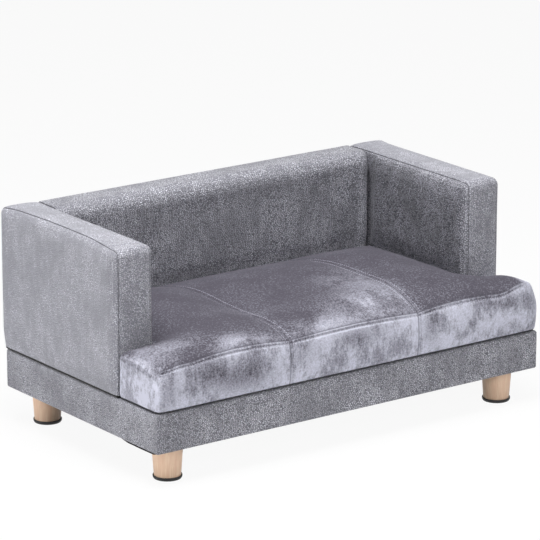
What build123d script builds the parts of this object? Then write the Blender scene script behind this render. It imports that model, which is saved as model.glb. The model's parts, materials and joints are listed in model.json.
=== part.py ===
"""Dog sofa bed: an upholstered base on four turned legs, two arms, a back and a loose T-shaped seat cushion.

Millimetres. X runs to the sofa's right as seen from its front, Y to its back and Z up.
The origin is on the floor under the middle of the base.
"""

import os
from math import radians, tan

from build123d import *

# Driving sizes of the whole sofa
sofa_width = 685
sofa_depth = 390
sofa_height = 323
base_underside = 52
base_height = 58
arm_thickness = 59.5
arm_setback = 97
back_thickness = 57

# Sheets, boards and battens
skin = 2
board_thickness = 4
batten_width = 30
batten_depth = 28
deck_thickness = 9
rail_thickness = 28

# Foam over the arm and back frames
top_foam_thickness = 8
front_foam_thickness = 6
foam_corner_radius = 7
foam_edge_radius = 4
board_edge_radius = 1
back_front_radius = 10

# Base box
rail_corner_radius = 6
deck_edge_radius = 2
base_lower_radius = 3
cover_turn_in = 20
slat_width = 30
slat_height = 20
slat_spacing = 220

# Dust cover and its staples
dust_cover_thickness = 1
dust_cover_margin = 6
staple_length = 10
staple_width = 1.2
staple_thickness = 0.5
staple_inset = 8
staple_pitch = 52

# Legs, pads and what fastens them
leg_inset_from_side = 44.5
leg_inset_from_front = 40.5
leg_top_radius = 22.5
leg_foot_radius = 19.25
leg_edge_radius = 0.8
pad_radius = 20.5
pad_height = 4
pad_edge_radius = 1
corner_block_beyond_bolt = 25
corner_block_height = 26
hanger_bolt_radius = 4
hanger_bolt_in_leg = 28
hanger_bolt_beyond_nut = 1
tee_nut_flange_radius = 9.5
tee_nut_flange_thickness = 1.5
tee_nut_barrel_radius = 5.2
tee_nut_barrel_length = 9
pad_screw_radius = 1.75
pad_screw_head_radius = 4
pad_screw_head_angle = 90
pad_screw_recess = 0.8
pad_screw_in_leg = 14

# Bolts that hold the arms and the back on the base
frame_bolt_radius = 3
frame_bolt_head_radius = 5
frame_bolt_head_height = 5
frame_bolt_socket_radius = 2.4
frame_bolt_socket_depth = 3
socket_sides = 6
frame_washer_radius = 8.5
frame_washer_thickness = 1.6
frame_bolt_well_radius = 9.5
frame_bolt_well_depth = 10
frame_bolt_beyond_nut = 4
insert_nut_radius = 5
insert_nut_length = 13
bolt_hole_clearance = 0.5
thread_clearance = 0.1
arm_bolt_from_front_post = 22
arm_bolt_from_rear_post = 45
back_bolt_from_post = 82.5

# Seat cushion
cushion_skin = 1.5
foam_clearance = 0.5
cushion_lift_gap = 0.3
cushion_side_gap = 1.2
cushion_ear_gap = 0.8
cushion_end_inset = 1.5
panel_seam_spacing = 230
cushion_edge_height = 68
cushion_rear_drop = 4
crown_rise = 27
seat_crown_rise = 4
roll_rise = 20
roll_distance = 44
edge_rise = 8
front_wall_bulge = 3
cushion_front_inset = 0.5

# Zip in the cushion's rear wall
zip_room = 7
zip_end_margin = 41.8
zip_height = 30
zip_tape_width = 26
zip_tape_thickness = 0.8
zip_coil_width = 4
zip_coil_thickness = 1.6
zip_slit = 3
slider_length = 10
slider_width = 9
slider_wall = 1.2
slider_clearance = 0.3
slider_end_stop = 8

# Clearances between neighbouring pieces
back_to_arm_gap = 0.5
overrun = 5

# Places that follow from the sizes
half_width = sofa_width / 2
half_depth = sofa_depth / 2
base_top = base_underside + base_height
rail_bottom = base_underside + skin
deck_top = base_top - skin
deck_bottom = deck_top - deck_thickness
frame_half_width = half_width - skin
frame_half_depth = half_depth - skin
rail_inner_x = frame_half_width - rail_thickness
rail_inner_y = frame_half_depth - rail_thickness
arm_inner_x = half_width - arm_thickness
arm_front_y = -half_depth + arm_setback
back_front_y = half_depth - back_thickness
back_half_width = arm_inner_x - back_to_arm_gap
foam_top = sofa_height - skin
frame_top = foam_top - top_foam_thickness
leg_top = base_underside - dust_cover_thickness
leg_x = half_width - leg_inset_from_side
leg_y = half_depth - leg_inset_from_front
corner_block_top = base_underside + corner_block_height
outer_batten_x = frame_half_width - board_thickness
inner_batten_x = outer_batten_x - batten_width
rear_batten_y = frame_half_depth - board_thickness
front_batten_y = rear_batten_y - batten_width
arm_bolt_x = (max(rail_inner_x, inner_batten_x) + outer_batten_x) / 2
back_bolt_y = (max(rail_inner_y, front_batten_y) + rear_batten_y) / 2
rear_post_y = frame_half_depth - batten_depth
front_post_y = arm_front_y + skin + front_foam_thickness
front_post_end_y = front_post_y + batten_depth
back_frame_half_width = back_half_width - skin
back_post_x = back_frame_half_width - batten_depth
arm_bolt_ys = (front_post_end_y + arm_bolt_from_front_post, rear_post_y - arm_bolt_from_rear_post)
right_arm_bolts = [(arm_bolt_x, y) for y in arm_bolt_ys]
left_arm_bolts = [(-x, y) for x, y in right_arm_bolts]
back_bolts = [(side * (back_post_x - back_bolt_from_post), back_bolt_y) for side in (-1, 1)]
all_frame_bolts = left_arm_bolts + right_arm_bolts + back_bolts
leg_spots = [(x, y) for y in (-leg_y, leg_y) for x in (-leg_x, leg_x)]
frame_bolt_seat = rail_bottom + frame_bolt_well_depth
frame_bolt_head_top = frame_bolt_seat - frame_washer_thickness
frame_bolt_top = base_top + insert_nut_length + frame_bolt_beyond_nut
frame_bolt_hole_radius = frame_bolt_radius + bolt_hole_clearance

os.makedirs("parts", exist_ok=True)


def save(piece, node):
    """Labels a finished piece and writes it as its own node."""
    piece.label = node
    export_step(piece, f"parts/{node}.step")


def save_pair(right_piece, node):
    """Writes a right-hand piece and its mirror image as the left-hand one."""
    save(right_piece, f"right_{node}")
    save(mirror(right_piece, about=Plane.YZ), f"left_{node}")


def board(low, high):
    """A plain rectangular board between its lowest and highest corners."""
    with BuildPart() as blank:
        with BuildSketch(Plane.XY.offset(low[2])):
            with Locations(((low[0] + high[0]) / 2, (low[1] + high[1]) / 2)):
                Rectangle(high[0] - low[0], high[1] - low[1])
        extrude(amount=high[2] - low[2])
    return blank.part


def rod(spots, radius, bottom, top, bore_radius=0):
    """Upright round rods, or tubes where a bore is given, one at each spot."""
    with BuildPart() as rods:
        with BuildSketch(Plane.XY.offset(bottom)):
            with Locations(*spots):
                Circle(radius)
                if bore_radius:
                    Circle(bore_radius, mode=Mode.SUBTRACT)
        extrude(amount=top - bottom)
    return rods.part


def outline_edges(shape, axis, which, above):
    """Edges of a shape's first or last face along an axis, without the edge on the shape's underside."""
    return shape.faces().sort_by(axis)[which].edges().filter_by(lambda edge: edge.center().Z > above)


# Base frame: rails, slats, corner blocks and deck


def long_rail(side):
    """The front rail for side -1 or the rear rail for side 1, as long as the frame."""
    inner_y, outer_y = sorted((side * rail_inner_y, side * frame_half_depth))
    with BuildPart() as rail:
        add(board((-frame_half_width, inner_y, rail_bottom), (frame_half_width, outer_y, deck_bottom)))
        outer_corners = rail.edges().filter_by(Axis.Z).group_by(Axis.Y)[0 if side < 0 else -1]
        fillet(outer_corners, rail_corner_radius)
        if side > 0:
            add(rod(back_bolts, frame_bolt_hole_radius, rail_bottom, deck_bottom), mode=Mode.SUBTRACT)
            add(rod(back_bolts, frame_bolt_well_radius, rail_bottom, frame_bolt_seat), mode=Mode.SUBTRACT)
    return rail.part


save(long_rail(-1), "base_front_rail")
save(long_rail(1), "base_rear_rail")

with BuildPart() as right_rail:
    add(board((rail_inner_x, -rail_inner_y, rail_bottom), (frame_half_width, rail_inner_y, deck_bottom)))
    add(rod(right_arm_bolts, frame_bolt_hole_radius, rail_bottom, deck_bottom), mode=Mode.SUBTRACT)
    add(rod(right_arm_bolts, frame_bolt_well_radius, rail_bottom, frame_bolt_seat), mode=Mode.SUBTRACT)
save(right_rail.part, "base_right_rail")
save(mirror(right_rail.part, about=Plane.YZ), "base_left_rail")

slat_inner_x = (slat_spacing - slat_width) / 2
slat_outer_x = (slat_spacing + slat_width) / 2
right_slat = board(
    (slat_inner_x, -rail_inner_y, deck_bottom - slat_height),
    (slat_outer_x, rail_inner_y, deck_bottom),
)
save(right_slat, "base_right_slat")
save(mirror(right_slat, about=Plane.YZ), "base_left_slat")

block_length_x = rail_inner_x - leg_x + corner_block_beyond_bolt
block_length_y = rail_inner_y - leg_y + corner_block_beyond_bolt
with BuildPart() as corner_blocks:
    with BuildSketch(Plane.XY.offset(base_underside)):
        with GridLocations(2 * rail_inner_x - block_length_x, 2 * rail_inner_y - block_length_y, 2, 2):
            Rectangle(block_length_x, block_length_y)
    extrude(amount=corner_block_height)
    with Locations(Plane.XY.offset(corner_block_top)):
        with Locations(*leg_spots):
            CounterBoreHole(
                radius=hanger_bolt_radius + bolt_hole_clearance,
                counter_bore_radius=tee_nut_barrel_radius + thread_clearance,
                counter_bore_depth=tee_nut_barrel_length,
            )
save(corner_blocks.part, "base_corner_blocks")

with BuildPart() as seat_deck:
    add(
        board(
            (-frame_half_width, -frame_half_depth, deck_bottom),
            (frame_half_width, frame_half_depth, deck_top),
        )
    )
    fillet(seat_deck.edges().filter_by(Axis.Z), rail_corner_radius)
    fillet(seat_deck.faces().sort_by(Axis.Z)[-1].edges(), deck_edge_radius)
    add(rod(all_frame_bolts, frame_bolt_hole_radius, deck_bottom, deck_top), mode=Mode.SUBTRACT)
save(seat_deck.part, "seat_deck")

# Faux-leather cover of the base: over the deck, down the sides and turned in under the rails

with BuildPart() as base_cover:
    add(board((-half_width, -half_depth, base_underside), (half_width, half_depth, base_top)))
    fillet(base_cover.edges().filter_by(Axis.Z), rail_corner_radius + skin)
    fillet(base_cover.faces().sort_by(Axis.Z)[-1].edges(), deck_edge_radius + skin)
    fillet(base_cover.faces().sort_by(Axis.Z)[0].edges(), base_lower_radius)
    with BuildPart(mode=Mode.PRIVATE) as frame_space:
        add(
            board(
                (-frame_half_width, -frame_half_depth, rail_bottom),
                (frame_half_width, frame_half_depth, deck_top),
            )
        )
        fillet(frame_space.edges().filter_by(Axis.Z), rail_corner_radius)
        fillet(frame_space.faces().sort_by(Axis.Z)[-1].edges(), deck_edge_radius)
    add(frame_space.part, mode=Mode.SUBTRACT)
    with BuildSketch(Plane.XY.offset(base_underside)):
        Rectangle(sofa_width - 2 * cover_turn_in, sofa_depth - 2 * cover_turn_in)
    extrude(amount=skin, mode=Mode.SUBTRACT)
    add(rod(all_frame_bolts, frame_bolt_well_radius, base_underside, rail_bottom), mode=Mode.SUBTRACT)
    add(rod(all_frame_bolts, frame_bolt_hole_radius, deck_top, base_top), mode=Mode.SUBTRACT)
save(base_cover.part, "base_cover")

# Black dust cover under the base, with its staples

dust_cover_half_width = half_width - dust_cover_margin
dust_cover_half_depth = half_depth - dust_cover_margin
with BuildPart() as dust_cover:
    with BuildSketch(Plane.XY.offset(leg_top)):
        Rectangle(2 * dust_cover_half_width, 2 * dust_cover_half_depth)
        with Locations(*leg_spots):
            Circle(hanger_bolt_radius + bolt_hole_clearance, mode=Mode.SUBTRACT)
        with Locations(*all_frame_bolts):
            Circle(frame_bolt_well_radius, mode=Mode.SUBTRACT)
    extrude(amount=dust_cover_thickness)
save(dust_cover.part, "dust_cover")


def staple_spots(row_length):
    """Even places along an edge, about one staple pitch apart, clear of its ends."""
    count = max(2, round(row_length / staple_pitch))
    step = row_length / count
    return [(index + 1 / 2) * step - row_length / 2 for index in range(count)]


staple_row_x = dust_cover_half_width - staple_inset
staple_row_y = dust_cover_half_depth - staple_inset
with BuildPart() as staples:
    with BuildSketch(Plane.XY.offset(leg_top - staple_thickness)):
        for side in (-1, 1):
            with Locations(*[(x, side * staple_row_y) for x in staple_spots(2 * staple_row_x)]):
                Rectangle(staple_length, staple_width)
            with Locations(*[(side * staple_row_x, y) for y in staple_spots(2 * staple_row_y)]):
                Rectangle(staple_width, staple_length)
        with Locations(*all_frame_bolts):
            Circle(frame_bolt_well_radius + staple_length, mode=Mode.SUBTRACT)
    extrude(amount=staple_thickness)
save(staples.part, "dust_cover_staples")

# Legs, pads and their fasteners

for corner, spot in zip(("front_left", "front_right", "rear_left", "rear_right"), leg_spots):
    with BuildPart() as leg:
        with BuildSketch(Plane.XY.offset(pad_height)):
            with Locations(spot):
                Circle(leg_foot_radius)
        with BuildSketch(Plane.XY.offset(leg_top)):
            with Locations(spot):
                Circle(leg_top_radius)
        loft()
        fillet(leg.edges().filter_by(GeomType.CIRCLE), leg_edge_radius)
        add(rod([spot], hanger_bolt_radius, leg_top - hanger_bolt_in_leg, leg_top), mode=Mode.SUBTRACT)
        add(rod([spot], pad_screw_radius, pad_height, pad_height + pad_screw_in_leg), mode=Mode.SUBTRACT)
    save(leg.part, f"leg_{corner}")

    with BuildPart() as pad:
        with BuildSketch():
            with Locations(spot):
                Circle(pad_radius)
        extrude(amount=pad_height)
        fillet(pad.edges(), pad_edge_radius)
        with Locations(Plane(origin=(*spot, pad_screw_recess), x_dir=(1, 0, 0), z_dir=(0, 0, -1))):
            with Locations((0, 0)):
                CounterSinkHole(
                    radius=pad_screw_radius,
                    counter_sink_radius=pad_screw_head_radius,
                    counter_sink_angle=pad_screw_head_angle,
                )
        add(rod([spot], pad_screw_head_radius, 0, pad_screw_recess), mode=Mode.SUBTRACT)
    save(pad.part, f"pad_{corner}")

pad_screw_head_height = (pad_screw_head_radius - pad_screw_radius) / tan(radians(pad_screw_head_angle / 2))
with BuildPart() as pad_screws:
    add(rod(leg_spots, pad_screw_radius, pad_screw_recess, pad_height + pad_screw_in_leg))
    for spot in leg_spots:
        with BuildSketch(Plane.XY.offset(pad_screw_recess)):
            with Locations(spot):
                Circle(pad_screw_head_radius)
        with BuildSketch(Plane.XY.offset(pad_screw_recess + pad_screw_head_height)):
            with Locations(spot):
                Circle(pad_screw_radius)
        loft()
save(pad_screws.part, "pad_screws")

hanger_bolt_top = corner_block_top + hanger_bolt_beyond_nut
save(rod(leg_spots, hanger_bolt_radius, leg_top - hanger_bolt_in_leg, hanger_bolt_top), "leg_hanger_bolts")

tee_nut_bore_radius = hanger_bolt_radius + thread_clearance
with BuildPart() as tee_nuts:
    add(rod(leg_spots, tee_nut_barrel_radius, corner_block_top - tee_nut_barrel_length, corner_block_top))
    add(rod(leg_spots, tee_nut_flange_radius, corner_block_top, corner_block_top + tee_nut_flange_thickness))
    add(rod(leg_spots, tee_nut_bore_radius, leg_top, corner_block_top + overrun), mode=Mode.SUBTRACT)
save(tee_nuts.part, "leg_tee_nuts")

# Bolts, washers and insert nuts of the arms and the back

with BuildPart() as frame_bolts:
    add(rod(all_frame_bolts, frame_bolt_radius, frame_bolt_head_top, frame_bolt_top))
    head_bottom = frame_bolt_head_top - frame_bolt_head_height
    add(rod(all_frame_bolts, frame_bolt_head_radius, head_bottom, frame_bolt_head_top))
    with BuildSketch(Plane.XY.offset(head_bottom)):
        with Locations(*all_frame_bolts):
            RegularPolygon(frame_bolt_socket_radius, socket_sides)
    extrude(amount=frame_bolt_socket_depth, mode=Mode.SUBTRACT)
save(frame_bolts.part, "frame_bolts")
save(
    rod(all_frame_bolts, frame_washer_radius, frame_bolt_head_top, frame_bolt_seat, frame_bolt_hole_radius),
    "frame_washers",
)
insert_nut_top = base_top + insert_nut_length
insert_nut_bore_radius = frame_bolt_radius + thread_clearance
save(
    rod(all_frame_bolts, insert_nut_radius, base_top, insert_nut_top, insert_nut_bore_radius),
    "frame_insert_nuts",
)


# Arms: a batten frame between two boards, foam on the inner face, top and front, and the sewn cover


def arm_form(inset):
    """The right arm's outside, drawn in by inset on every side but its underside."""
    edge_radius = skin - inset
    with BuildPart() as form:
        with BuildSketch(Plane.YZ.offset(arm_inner_x + inset)) as side:
            with BuildLine():
                Polyline(
                    (arm_front_y + inset, base_top),
                    (half_depth - inset, base_top),
                    (half_depth - inset, sofa_height - inset),
                    (arm_front_y + inset, sofa_height - inset),
                    close=True,
                )
            make_face()
            fillet(side.vertices().group_by(Axis.Y)[-1], foam_corner_radius + edge_radius)
        extrude(amount=arm_thickness - 2 * inset)
        fillet(outline_edges(form, Axis.X, 0, base_top), foam_edge_radius + edge_radius)
        fillet(outline_edges(form, Axis.X, -1, base_top), board_edge_radius + edge_radius)
    return form.part


def cut_from(form, low, high):
    """The part of a form that lies between two corners."""
    with BuildPart() as piece:
        add(form)
        add(board(low, high), mode=Mode.INTERSECT)
    return piece.part


arm_inside = arm_form(skin)
inner_board_x = inner_batten_x - board_thickness
with BuildPart() as arm_cover:
    add(arm_form(0))
    add(arm_inside, mode=Mode.SUBTRACT)
save_pair(arm_cover.part, "arm_cover")

save_pair(
    cut_from(
        arm_inside,
        (arm_inner_x, front_post_y, base_top),
        (inner_board_x, half_depth, frame_top),
    ),
    "arm_inner_foam",
)
save_pair(
    cut_from(arm_inside, (arm_inner_x, arm_front_y, frame_top), (half_width, half_depth, sofa_height)),
    "arm_top_foam",
)
save_pair(
    cut_from(arm_inside, (arm_inner_x, arm_front_y, base_top), (half_width, front_post_y, frame_top)),
    "arm_front_foam",
)


def arm_board(inner_x, outer_x):
    """A side board of the arm frame, cut to the inside of the cover."""
    return cut_from(arm_inside, (inner_x, front_post_y, base_top), (outer_x, frame_half_depth, frame_top))


save_pair(arm_board(outer_batten_x, frame_half_width), "arm_outer_board")
save_pair(arm_board(inner_board_x, inner_batten_x), "arm_inner_board")

bottom_rail_top = base_top + batten_depth
top_rail_bottom = frame_top - batten_depth
save_pair(
    board((inner_batten_x, front_post_y, base_top), (outer_batten_x, front_post_end_y, frame_top)),
    "arm_front_post",
)
save_pair(
    board((inner_batten_x, rear_post_y, base_top), (outer_batten_x, frame_half_depth, frame_top)),
    "arm_rear_post",
)
save_pair(
    board((inner_batten_x, front_post_end_y, top_rail_bottom), (outer_batten_x, rear_post_y, frame_top)),
    "arm_top_rail",
)
with BuildPart() as arm_bottom_rail:
    add(board((inner_batten_x, front_post_end_y, base_top), (outer_batten_x, rear_post_y, bottom_rail_top)))
    add(rod(right_arm_bolts, insert_nut_radius, base_top, insert_nut_top), mode=Mode.SUBTRACT)
    add(rod(right_arm_bolts, frame_bolt_hole_radius, base_top, frame_bolt_top), mode=Mode.SUBTRACT)
save_pair(arm_bottom_rail.part, "arm_bottom_rail")


# Back: made as the arms are, and set between them


def back_form(inset):
    """The back's outside, drawn in by inset on every side but its underside."""
    edge_radius = skin - inset
    half_length = back_half_width - inset
    with BuildPart() as form:
        with BuildSketch(Plane.YZ.offset(-half_length)) as side:
            with BuildLine():
                Polyline(
                    (back_front_y + inset, base_top),
                    (half_depth - inset, base_top),
                    (half_depth - inset, sofa_height - inset),
                    (back_front_y + inset, sofa_height - inset),
                    close=True,
                )
            make_face()
            top_corners = side.vertices().group_by(Axis.Y)[-1].sort_by(Axis.X)
            fillet(top_corners[0], back_front_radius + edge_radius)
            fillet(top_corners[-1], foam_corner_radius + edge_radius)
        extrude(amount=2 * half_length)
    return form.part


back_inside = back_form(skin)
back_board_y = front_batten_y - board_thickness
with BuildPart() as back_cover:
    add(back_form(0))
    add(back_inside, mode=Mode.SUBTRACT)
save(back_cover.part, "back_cover")

save(
    cut_from(
        back_inside,
        (-back_half_width, back_front_y, base_top),
        (back_half_width, back_board_y, frame_top),
    ),
    "back_front_foam",
)
save(
    cut_from(
        back_inside,
        (-back_half_width, back_front_y, frame_top),
        (back_half_width, half_depth, sofa_height),
    ),
    "back_top_foam",
)
save(
    board(
        (-back_frame_half_width, back_board_y, base_top),
        (back_frame_half_width, front_batten_y, frame_top),
    ),
    "back_front_board",
)
save(
    board(
        (-back_frame_half_width, rear_batten_y, base_top),
        (back_frame_half_width, frame_half_depth, frame_top),
    ),
    "back_rear_board",
)
right_back_post = board(
    (back_post_x, front_batten_y, base_top),
    (back_frame_half_width, rear_batten_y, frame_top),
)
save(right_back_post, "back_right_post")
save(mirror(right_back_post, about=Plane.YZ), "back_left_post")
save(
    board((-back_post_x, front_batten_y, top_rail_bottom), (back_post_x, rear_batten_y, frame_top)),
    "back_top_rail",
)
with BuildPart() as back_bottom_rail:
    add(board((-back_post_x, front_batten_y, base_top), (back_post_x, rear_batten_y, bottom_rail_top)))
    add(rod(back_bolts, insert_nut_radius, base_top, insert_nut_top), mode=Mode.SUBTRACT)
    add(rod(back_bolts, frame_bolt_hole_radius, base_top, frame_bolt_top), mode=Mode.SUBTRACT)
save(back_bottom_rail.part, "back_bottom_rail")

# Seat cushion. Upright sections across it are lofted from panel seam to panel seam.
# A station is a place along its panel, as a share of the panel's length, then the shares of three rises:
# the crown's, the roll's over the front edge and the top edge's own.

cushion_bottom = base_top + cushion_lift_gap
edge_top = base_top + cushion_edge_height
seam_x = panel_seam_spacing / 2
cushion_side_x = arm_inner_x - cushion_side_gap
ear_end_x = half_width - cushion_end_inset
ear_rear_y = arm_front_y - cushion_ear_gap
cushion_rear_y = back_front_y - zip_room
cushion_front_y = -half_depth + cushion_front_inset

half_middle_shares = (
    (0, 1, 1, 1),
    (0.3, 0.99, 1, 0.95),
    (0.6, 0.95, 0.98, 0.8),
    (0.85, 0.87, 0.9, 0.5),
    (1, 0.78, 0.8, 0.1),
)
side_panel_shares = (
    (0, 0.78, 0.8, 0.1),
    (0.1, 0.88, 0.91, 0.5),
    (0.25, 0.96, 0.98, 0.8),
    (0.5, 1, 1, 1),
    (0.7, 0.94, 0.97, 1),
    (0.83, 0.78, 0.87, 1.1),
    (0.93, 0.46, 0.73, 1.1),
    (1, 0.08, 0.6, 1.1),
)
ear_shares = (
    (0, 0.08, 0.6, 1.1),
    (0.35, 0.04, 0.56, 1.05),
    (0.62, 0, 0.42, 0.75),
    (0.83, -0.12, 0.1, 0.1),
    (1, -0.5, -0.75, -1.2),
)
crown_place_share = 0.42


def front_section(x, crown_share, roll_share, edge_share, inset):
    """A closed section of the front bar: flat below and behind, rolled over the top edge, bulged in front."""
    front_y = cushion_front_y + front_wall_bulge + inset
    rear_y = ear_rear_y - inset
    bottom = cushion_bottom + inset
    rear_top = edge_top + crown_rise * crown_share - inset
    roll_top = edge_top + roll_rise * roll_share - inset
    seam_top = edge_top + edge_rise * edge_share - inset
    with BuildSketch(Plane.YZ.offset(x)) as section:
        with BuildLine():
            Line((front_y, bottom), (rear_y, bottom))
            Line((rear_y, bottom), (rear_y, rear_top))
            ThreePointArc((rear_y, rear_top), (front_y + roll_distance, roll_top), (front_y, seam_top))
            bulge = (front_y - front_wall_bulge, (bottom + seam_top) / 2)
            ThreePointArc((front_y, seam_top), bulge, (front_y, bottom))
        make_face()
    return section.sketch


def seat_section(x, crown_share, roll_share, edge_share, inset):
    """A closed section of the seat block behind the front bar: flat sides and a crowned top."""
    front_y = ear_rear_y - inset
    rear_y = cushion_rear_y - inset
    bottom = cushion_bottom + inset
    front_top = edge_top + crown_rise * crown_share - inset
    rear_top = edge_top - cushion_rear_drop + edge_rise * edge_share - inset
    crown_y = front_y + (rear_y - front_y) * crown_place_share
    crown_top = edge_top + (crown_rise + seat_crown_rise * roll_share) * crown_share - inset
    with BuildSketch(Plane.YZ.offset(x)) as section:
        with BuildLine():
            Line((front_y, bottom), (rear_y, bottom))
            Line((rear_y, bottom), (rear_y, rear_top))
            ThreePointArc((rear_y, rear_top), (crown_y, crown_top), (front_y, front_top))
            Line((front_y, front_top), (front_y, bottom))
        make_face()
    return section.sketch


def stations(first_x, last_x, panel_shares):
    """Places from one panel edge to the other, each with its shares of the rises."""
    return [(first_x + (last_x - first_x) * share, *rises) for share, *rises in panel_shares]


def panel(section, first_x, last_x, panel_shares, inset):
    """One panel of the cushion, lofted through its sections."""
    with BuildPart() as lofted:
        for station in stations(first_x, last_x, panel_shares):
            add(section(*station, inset))
        loft(ruled=True)
    return lofted.part


def seat_block(inset):
    """The cushion's seat between the arms, panel by panel."""
    with BuildPart() as block:
        add(panel(seat_section, 0, seam_x, half_middle_shares, inset))
        add(panel(seat_section, seam_x, cushion_side_x - inset, side_panel_shares, inset))
        mirror(about=Plane.YZ)
    return block.part


def front_bar(inset):
    """The cushion's front bar, panel by panel, with an ear in front of each arm."""
    with BuildPart() as bar:
        add(panel(front_section, 0, seam_x, half_middle_shares, inset))
        add(panel(front_section, seam_x, cushion_side_x - inset, side_panel_shares, inset))
        add(panel(front_section, cushion_side_x - inset, ear_end_x - inset, ear_shares, inset))
        mirror(about=Plane.YZ)
    return bar.part


zip_z = base_top + zip_height
half_zip = cushion_side_x - zip_end_margin
with BuildPart() as cushion_cover:
    add(front_bar(0))
    add(seat_block(0))
    add(front_bar(cushion_skin), mode=Mode.SUBTRACT)
    add(seat_block(cushion_skin), mode=Mode.SUBTRACT)
    add(
        board(
            (-half_zip, cushion_rear_y - cushion_skin - foam_clearance, zip_z - zip_slit / 2),
            (half_zip, cushion_rear_y + overrun, zip_z + zip_slit / 2),
        ),
        mode=Mode.SUBTRACT,
    )
save(cushion_cover.part, "cushion_cover")

foam_inset = cushion_skin + foam_clearance
save(front_bar(foam_inset), "cushion_front_foam")
save(seat_block(foam_inset), "cushion_seat_foam")

# Zip and its slider, which runs along the coil from the right-hand end

coil_y = cushion_rear_y + zip_tape_thickness
with BuildPart() as cushion_zip:
    add(
        board(
            (-half_zip, cushion_rear_y, zip_z - zip_tape_width / 2),
            (half_zip, coil_y, zip_z + zip_tape_width / 2),
        )
    )
    add(
        board(
            (-half_zip, coil_y, zip_z - zip_coil_width / 2),
            (half_zip, coil_y + zip_coil_thickness, zip_z + zip_coil_width / 2),
        )
    )
save(cushion_zip.part, "cushion_zip")

slider_right_x = half_zip - slider_end_stop
slider_left_x = slider_right_x - slider_length
slider_front_y = coil_y + slider_clearance
channel_y = coil_y + zip_coil_thickness + slider_clearance
slider_rear_y = channel_y + slider_wall
channel_half_width = zip_coil_width / 2 + slider_clearance
with BuildPart() as zip_slider:
    add(
        board(
            (slider_left_x, slider_front_y, zip_z - slider_width / 2),
            (slider_right_x, slider_rear_y, zip_z + slider_width / 2),
        )
    )
    add(
        board(
            (slider_left_x, coil_y, zip_z - channel_half_width),
            (slider_right_x, channel_y, zip_z + channel_half_width),
        ),
        mode=Mode.SUBTRACT,
    )
    fillet(zip_slider.faces().sort_by(Axis.Y)[-1].edges(), slider_wall / 2)
save(zip_slider.part, "zip_slider")

print("zip slider travel", slider_left_x + half_zip - slider_end_stop)
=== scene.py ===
import json
import math

import bmesh
import bpy
import numpy as np
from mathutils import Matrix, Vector, kdtree, noise


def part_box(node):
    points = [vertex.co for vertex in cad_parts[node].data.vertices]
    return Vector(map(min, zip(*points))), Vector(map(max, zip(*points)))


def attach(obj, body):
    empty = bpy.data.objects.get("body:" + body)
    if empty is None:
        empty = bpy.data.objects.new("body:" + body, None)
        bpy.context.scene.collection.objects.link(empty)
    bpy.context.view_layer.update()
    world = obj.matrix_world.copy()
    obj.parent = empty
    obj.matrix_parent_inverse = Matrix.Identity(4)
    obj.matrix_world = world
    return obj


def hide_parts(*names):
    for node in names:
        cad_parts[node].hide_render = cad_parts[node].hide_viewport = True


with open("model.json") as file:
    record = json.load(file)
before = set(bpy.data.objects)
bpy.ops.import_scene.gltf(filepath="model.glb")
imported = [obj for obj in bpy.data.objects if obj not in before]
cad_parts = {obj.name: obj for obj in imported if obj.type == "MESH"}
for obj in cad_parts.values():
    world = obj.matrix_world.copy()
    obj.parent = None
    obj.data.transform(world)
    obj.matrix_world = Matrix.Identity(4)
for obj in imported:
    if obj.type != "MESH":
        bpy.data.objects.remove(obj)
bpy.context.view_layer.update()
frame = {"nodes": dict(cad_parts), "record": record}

# Sizes are in metres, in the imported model's own frame. Places closer than tiny are the same place.
X, Y, Z = 0, 1, 2
tiny = 0.00001

# The covers' grids: their widest and finest steps, the steps of a row with fine ends, and the most
# steps that a short stretch has.
cloth_step = 0.006
fine_step = 0.0025
fine_ends = (fine_step / 2, cloth_step, fine_step)
most_short_steps = 9

# Camera: place, what it looks at and lens, worked out from the straight edges of the real sofa.
camera_place = (-3.09569, -4.22687, 1.72778)
camera_aim = (0.1103, 0.1606, 0.16)
camera_lens = 248.27
sensor_width = 36

# How far the foam alone pushes the covers out, as a share of what they can move.
foam_share = 0.9
# The share of the painted gap shade's height that stays fully dark.
gap_shade_dark_share = 0.55
# How crisp a seam stays when its cover is smoothed, where 1 is a sharp edge.
seam_crispness = 0.9
# How far the dark pores show on each face, where 1 is the arms' inner faces, as painted shade: faces that
# lie in shade get darker pores, and the arms' inner faces a darker coat as well. The last two say how far
# a painted highlight takes the pores off the upper edge of the base's sides.
arm_front_pore_shade = 0.44
back_pore_shade = 0.85
back_top_pore_shade = 0.55
base_pore_shade = 0.75
base_side_pore_shade = 0.65
base_painted_highlight = 0.7
base_painted_highlight_height = 0.022

# Arm and back covers.
arm_front_radius = 0.011
arm_rear_radius = 0.010
cover_foot_radius = 0.0016
cover_seam_row = 0.004
outer_panel_puff = 0.0075
inner_panel_puff = 0.010
border_puff = 0.003
seam_fade = 0.008
inner_seam_fade = 0.012
seam_inset = 0.0035
seam_reach = 0.006
seam_inset_run = 0.030
seam_groove = 0.0016
seam_thread = 0.0009
left_arm_lift = 0.006
left_arm_arch = (0.15, 0.72)
left_arm_arch_front = 0.25
arm_front_free = 0.012
arm_behind_back = 0.030
arm_below_cushion = 0.010
arm_held_share = 0.9
arm_foot_slack = 0.7
arm_foot_reach = 0.017
arm_rear_swell = 0.0030
arm_rear_swell_run = 0.050
arm_rear_swell_rise = 0.035
arm_pucker = 0.0005
arm_pucker_size = 0.009
arm_pucker_reach = 0.010
arm_swell = 0.0009
arm_swell_size = 0.055
arm_fold_from_front = 0.015
arm_fold_depth = 0.0030
arm_fold_width = 0.0038
right_arm_fold_share = 0.4
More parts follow.
